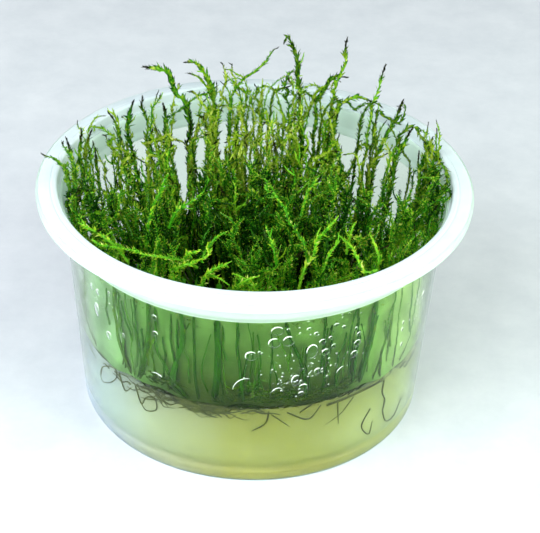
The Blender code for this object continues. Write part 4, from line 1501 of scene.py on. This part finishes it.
# Drops on the wall, each as turn, height, width and tallness.
DROPS = (
    (-82.6, 44.7, 2.8, 2.4),
    (-79.4, 44.8, 0.9, 0.9),
    (-83.3, 41.4, 2.7, 2.7),
    (-79.2, 41.7, 2.6, 2.8),
    (-89.9, 37.8, 2.6, 2.6),
    (-87.4, 38.7, 0.9, 1.1),
    (-72.0, 38.0, 2.6, 4.0),
    (-71.1, 42.7, 1.2, 1.2),
    (-69.0, 40.1, 1.6, 1.7),
    (-66.5, 40.7, 1.2, 1.2),
    (-65.3, 38.2, 1.2, 1.4),
    (-67.7, 37.0, 1.9, 2.0),
    (-73.4, 44.4, 1.2, 0.9),
    (-65.0, 44.1, 1.4, 0.9),
    (-62.5, 42.9, 1.2, 1.0),
    (-58.2, 41.3, 0.9, 1.2),
    (-56.9, 39.5, 1.2, 1.3),
    (-57.2, 37.0, 1.8, 2.0),
    (-57.9, 34.1, 1.9, 2.0),
    (-69.8, 32.0, 1.6, 1.9),
    (-76.3, 30.3, 2.1, 3.2),
    (-73.9, 28.0, 2.1, 1.9),
    (-74.4, 26.2, 1.4, 1.2),
    (-61.4, 29.0, 3.8, 5.6),
    (-37.6, 35.8, 0.9, 1.2),
    (-37.5, 33.8, 0.9, 1.2),
    (-36.6, 29.1, 0.9, 1.4),
    (-26.0, 38.9, 1.2, 1.4),
    (-145.6, 42.2, 1.2, 2.0),
    (-142.2, 42.1, 1.4, 1.8),
    (-136.3, 44.0, 0.9, 1.6),
    (-143.9, 36.6, 1.9, 4.0),
    (-138.4, 31.6, 1.9, 2.2),
    (-131.4, 34.4, 0.9, 1.4),
    (-119.0, 43.7, 1.4, 1.6),
    (-119.0, 39.2, 1.4, 1.6),
    (-118.1, 27.2, 0.9, 1.2),
    (-90.6, 27.6, 7.0, 8.4),
    (-81.5, 26.0, 3.8, 5.6),
    (-119.5, 25.4, 5.0, 5.6),
)
# Patches of droplets, each as its turn and height, how far they spread in degrees, and their number.
DROPLET_PATCHES = (
    (-70, 33, 5, 120),
    (-76, 44, 3, 14),
    (-66, 45, 3, 16),
    (-79, 30, 3, 60),
    (-30, 38, 3, 50),
    (-140, 40, 5, 30),
    (-84, 36, 5, 30),
)
DROPLET_TOP = 46.5
# Single drops round the back, in no pattern.
BACK_DROPS = 60


def drop_skin(turn_degrees, z, width, tallness):
    """A shallow drop on the wall's outer face, flat against it and domed outwards, as a function of the
    share of the way out to its edge and of the angle round it."""
    half = width / 2
    depth = half * math.tan(math.radians(DROP_ANGLE) / 2)
    ball = (half**2 + depth**2) / (2 * depth)

    def on_skin(share, t):
        rise = math.sqrt(ball**2 - (share * half) ** 2) - (ball - depth)
        across = share * half * math.cos(t)
        up = share * tallness / 2 * math.sin(t) - 0.06 * tallness * (1 - share)
        turn = turn_degrees + math.degrees(across / inner_wall_radius(z))
        return at_wall(turn, z + up, -WALL - DROP_GAP - rise)

    return on_skin


def drop(thicket, on_skin, turn_degrees, z, steps, rings):
    """One closed drop, with so many points round it and so many rings up to its crown."""
    turns = np.arange(steps) * 2 * math.pi / steps
    points = [on_skin(1 - ring / (rings + 1), t) for ring in range(rings + 1) for t in turns]
    points += [on_skin(0.0, 0.0), at_wall(turn_degrees, z, -WALL - DROP_GAP)]
    crown, back = len(points) - 2, len(points) - 1
    faces = []
    for ring in range(rings):
        for i in range(steps):
            j = (i + 1) % steps
            a, b = ring * steps + i, ring * steps + j
            faces += [(a, b + steps, b), (a, a + steps, b + steps)]
    top = rings * steps
    for i in range(steps):
        j = (i + 1) % steps
        faces += [(top + j, top + i, crown), (i, j, back)]
    thicket.put(np.array(points), np.array(faces), np.zeros((len(points), 4)))


def painted_highlight_arc(thicket, rng, on_skin, turn_degrees, width, extent=1.0):
    """A painted highlight: a white arc along a drop's upper edge, where its steep skin would gather the
    light.
    """
    facing = math.radians(ARC_RIGHT if turn_degrees > ARC_TURN else ARC_LEFT) + rng.normal(0, 0.2)
    reach = math.radians(rng.uniform(58, 85)) * extent
    turns = np.linspace(facing - reach, facing + reach, 13)
    path = np.array([on_skin(0.93, t) for t in turns])
    ahead = unit(np.gradient(path, axis=0))
    side, front = crosswise(ahead, np.zeros(len(path)))
    fullness = np.sin(np.linspace(0.15, math.pi - 0.15, len(path))) ** 0.8
    body, faces = tube(path, side, front, (0.04 + 0.034 * width) * fullness, 6)
    thicket.put(body, faces, np.zeros((len(body), 4)), 1)


def painted_dark_eye(thicket, on_skin):
    """A painted dark middle of a drop, for the moss that it would show upside down."""
    steps = 10
    turns = np.arange(steps) * 2 * math.pi / steps
    ring = np.array([on_skin(EYE_SHARE, t) for t in turns])
    middle = on_skin(0.0, 0.0)
    points = np.vstack([ring, [middle], [middle]])
    outward = unit(middle * (1, 1, 0))
    points[:steps] += 0.02 * outward
    points[steps] += 0.05 * outward
    points[steps + 1] -= 0.02 * outward
    faces = []
    for i in range(steps):
        j = (i + 1) % steps
        faces += [(j, i, steps), (i, j, steps + 1)]
    thicket.put(points, np.array(faces), np.zeros((len(points), 4)), 2)


def condensed_drops(water, highlight_paint, painted_eye):
    """Every drop on the wall: those of the table, the finer ones round them, and some at the back."""
    rng = np.random.default_rng(5)
    thicket = Thicket()
    for turn, z, width, tallness in DROPS:
        on_skin = drop_skin(turn, z, width, tallness)
        if width < LARGE_DROP:
            drop(thicket, on_skin, turn, z, 20, 5)
            painted_highlight_arc(thicket, rng, on_skin, turn, min(width, 2.6))
            if width < EYED_DROP and abs(turn + 80) < 50:
                painted_dark_eye(thicket, on_skin)
        else:
            painted_highlight_arc(thicket, rng, on_skin, turn, 0.9, 0.55)
    for centre, height, spread, number in DROPLET_PATCHES:
        for _ in range(number):
            size = rng.uniform(0.2, 0.6)
            turn = centre + rng.normal(0, spread)
            z = min(height + rng.normal(0, 2.4), DROPLET_TOP)
            on_skin = drop_skin(turn, z, size, size * rng.uniform(0.9, 1.3))
            drop(thicket, on_skin, turn, z, 6, 1)
            if rng.random() < 0.35:
                painted_highlight_arc(thicket, rng, on_skin, turn, size)
    for _ in range(BACK_DROPS):
        size = rng.uniform(0.4, 1.3)
        turn = rng.uniform(-10, 190)
        z = rng.uniform(24, 36)
        drop(thicket, drop_skin(turn, z, size, size * rng.uniform(1, 1.4)), turn, z, 10, 2)
    return thicket.join("condensed_drops", water, highlight_paint, painted_eye, smooth=True)


# The film of mist inside the wall: its ends, in degrees, its foot and top, and how far in it stands.
MIST_FROM, MIST_TO = -197.0, 17.0
MIST_FOOT, MIST_TOP = 21.9, 47.4
MIST_INSET = 1.7
# How far its lower edge rises and falls, in mm, and in how many waves, long and short, round the cup.
MIST_RAGGED = 1.6
LONG_WAVES, SHORT_WAVES = 11, 27
# Where, by their y, its ends start to clear, and where they are clear.
MIST_CLEARS, MIST_CLEAR = -16.0, 8.0


def wall_mist(material):
    """A thin closed film of mist a little way in from the wall, with a ragged lower edge."""
    across, upright, thickness = 96, 10, 0.08
    turns = np.linspace(MIST_FROM, MIST_TO, across + 1)
    shares = np.linspace(0.0, 1.0, upright + 1)
    waves = 0.5 + 0.3 * np.sin(np.radians(turns * LONG_WAVES))
    waves = waves + 0.2 * np.sin(np.radians(turns * SHORT_WAVES + 40))
    feet = MIST_FOOT + MIST_RAGGED * waves
    belly = 0.1 + MIST_INSET * np.sin(np.linspace(0.0, math.pi, upright + 1)) ** 0.4
    layers = [
        [
            [
                at_wall(t, foot + (MIST_TOP - foot) * share, inset + layer)
                for share, inset in zip(shares, belly)
            ]
            for t, foot in zip(turns, feet)
        ]
        for layer in (0.0, thickness)
    ]
    points = np.array(layers).reshape(-1, 3)
    row, sheet = upright + 1, (across + 1) * (upright + 1)
    faces = []
    for i in range(across):
        for j in range(upright):
            a = i * row + j
            faces.append((a, a + row, a + row + 1, a + 1))
            faces.append((sheet + a, sheet + a + 1, sheet + a + row + 1, sheet + a + row))
        for a, turned in ((i * row, False), (i * row + upright, True)):
            quad = (a, sheet + a, sheet + a + row, a + row)
            faces.append(quad[::-1] if turned else quad)
    for j in range(upright):
        a, b = j, across * row + j
        faces.append((a, a + 1, sheet + a + 1, sheet + a))
        faces.append((b, sheet + b, sheet + b + 1, b + 1))
    return add_piece("wall_mist", points, faces, [material])


# ---------------------------------------------------------------- stage


def floor(material):
    """The floor that the cup stands on."""
    size = 3000.0
    under = -0.05
    points = [(-size, -size, under), (size, -size, under), (size, size, under), (-size, size, under)]
    ob = add_piece("floor", points, [(0, 1, 2, 3)], [material])


def area_light(name, place, target, size, watts, colour):
    """A soft light, in metres, that faces a target."""
    data = bpy.data.lights.new(name, "AREA")
    data.shape = "RECTANGLE"
    data.size, data.size_y = size
    data.energy = watts
    data.color = linear(colour)[:3]
    ob = bpy.data.objects.new(name, data)
    bpy.context.scene.collection.objects.link(ob)
    ob.location = Vector(place)
    ob.rotation_euler = (Vector(target) - Vector(place)).to_track_quat("-Z", "Y").to_euler()


def lights():
    """Five soft lights and a pale room."""
    world = bpy.data.worlds.new("soft_room")
    bpy.context.scene.world = world
    world.use_nodes = True
    tree = world.node_tree
    tree.nodes.clear()
    sky = add(tree, "ShaderNodeBackground", {}, {"Color": linear("#F2F3FA"), "Strength": 0.6})
    add(tree, "ShaderNodeOutputWorld", {}, {"Surface": sky.outputs["Background"]})
    middle = (0.0, 0.0, 0.03)
    area_light("window", (-0.22, -0.30, 0.38), middle, (0.34, 0.26), 2.0, "#F6FDFF")
    area_light("bounce", (0.30, -0.26, 0.34), middle, (0.36, 0.3), 1.3, "#EAFFEE")
    area_light("room", (-0.1, -0.85, 0.22), middle, (0.9, 0.36), 5.2, "#FAFFF6")
    area_light("left_wall", (-0.60, -0.32, 0.16), middle, (0.5, 0.26), 3.3, "#F4FFFF")
    area_light("right_wall", (0.60, -0.32, 0.16), middle, (0.5, 0.26), 3.9, "#F4FFE9")


def camera():
    """The camera that took the photograph."""
    data = bpy.data.cameras.new("camera")
    data.sensor_fit = "HORIZONTAL"
    data.sensor_width = SENSOR_WIDTH
    data.lens = FOCAL_PIXELS * SENSOR_WIDTH / PHOTO_WIDTH
    data.clip_start = 0.01
    ob = bpy.data.objects.new("camera", data)
    bpy.context.scene.collection.objects.link(ob)
    place, look = camera_pose()
    ob.matrix_world = Matrix.Translation(place * MM) @ look.to_4x4()
    bpy.context.scene.camera = ob


def main():
    """Makes the camera, lights and floor, and every piece with the body that it belongs to."""
    camera()
    lights()
    floor(pale_floor())
    cup = culture_cup(clear_polypropylene(), milky_polypropylene(), neck_polypropylene())
    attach(cup, "root")
    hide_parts("culture_cup")
    gel = nutrient_gel(agar_gel())
    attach(gel, "root")
    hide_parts("nutrient_gel")
    tufts = [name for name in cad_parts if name.startswith("moss_tuft")]
    for number, piece in enumerate(moss(moss_leaf())):
        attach(piece, "root")
        if number == 0:
            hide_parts(*tufts)
    threads = wall_threads(rhizoid_thread())
    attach(threads, "root")
    drops = condensed_drops(condensed_water(), painted_drop_highlight(), painted_drop_image())
    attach(drops, "root")
    mist = wall_mist(mist_film())
    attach(mist, "root")
    scene = bpy.context.scene
    scene.view_settings.view_transform = "Standard"
    scene.view_settings.look = "None"


main()
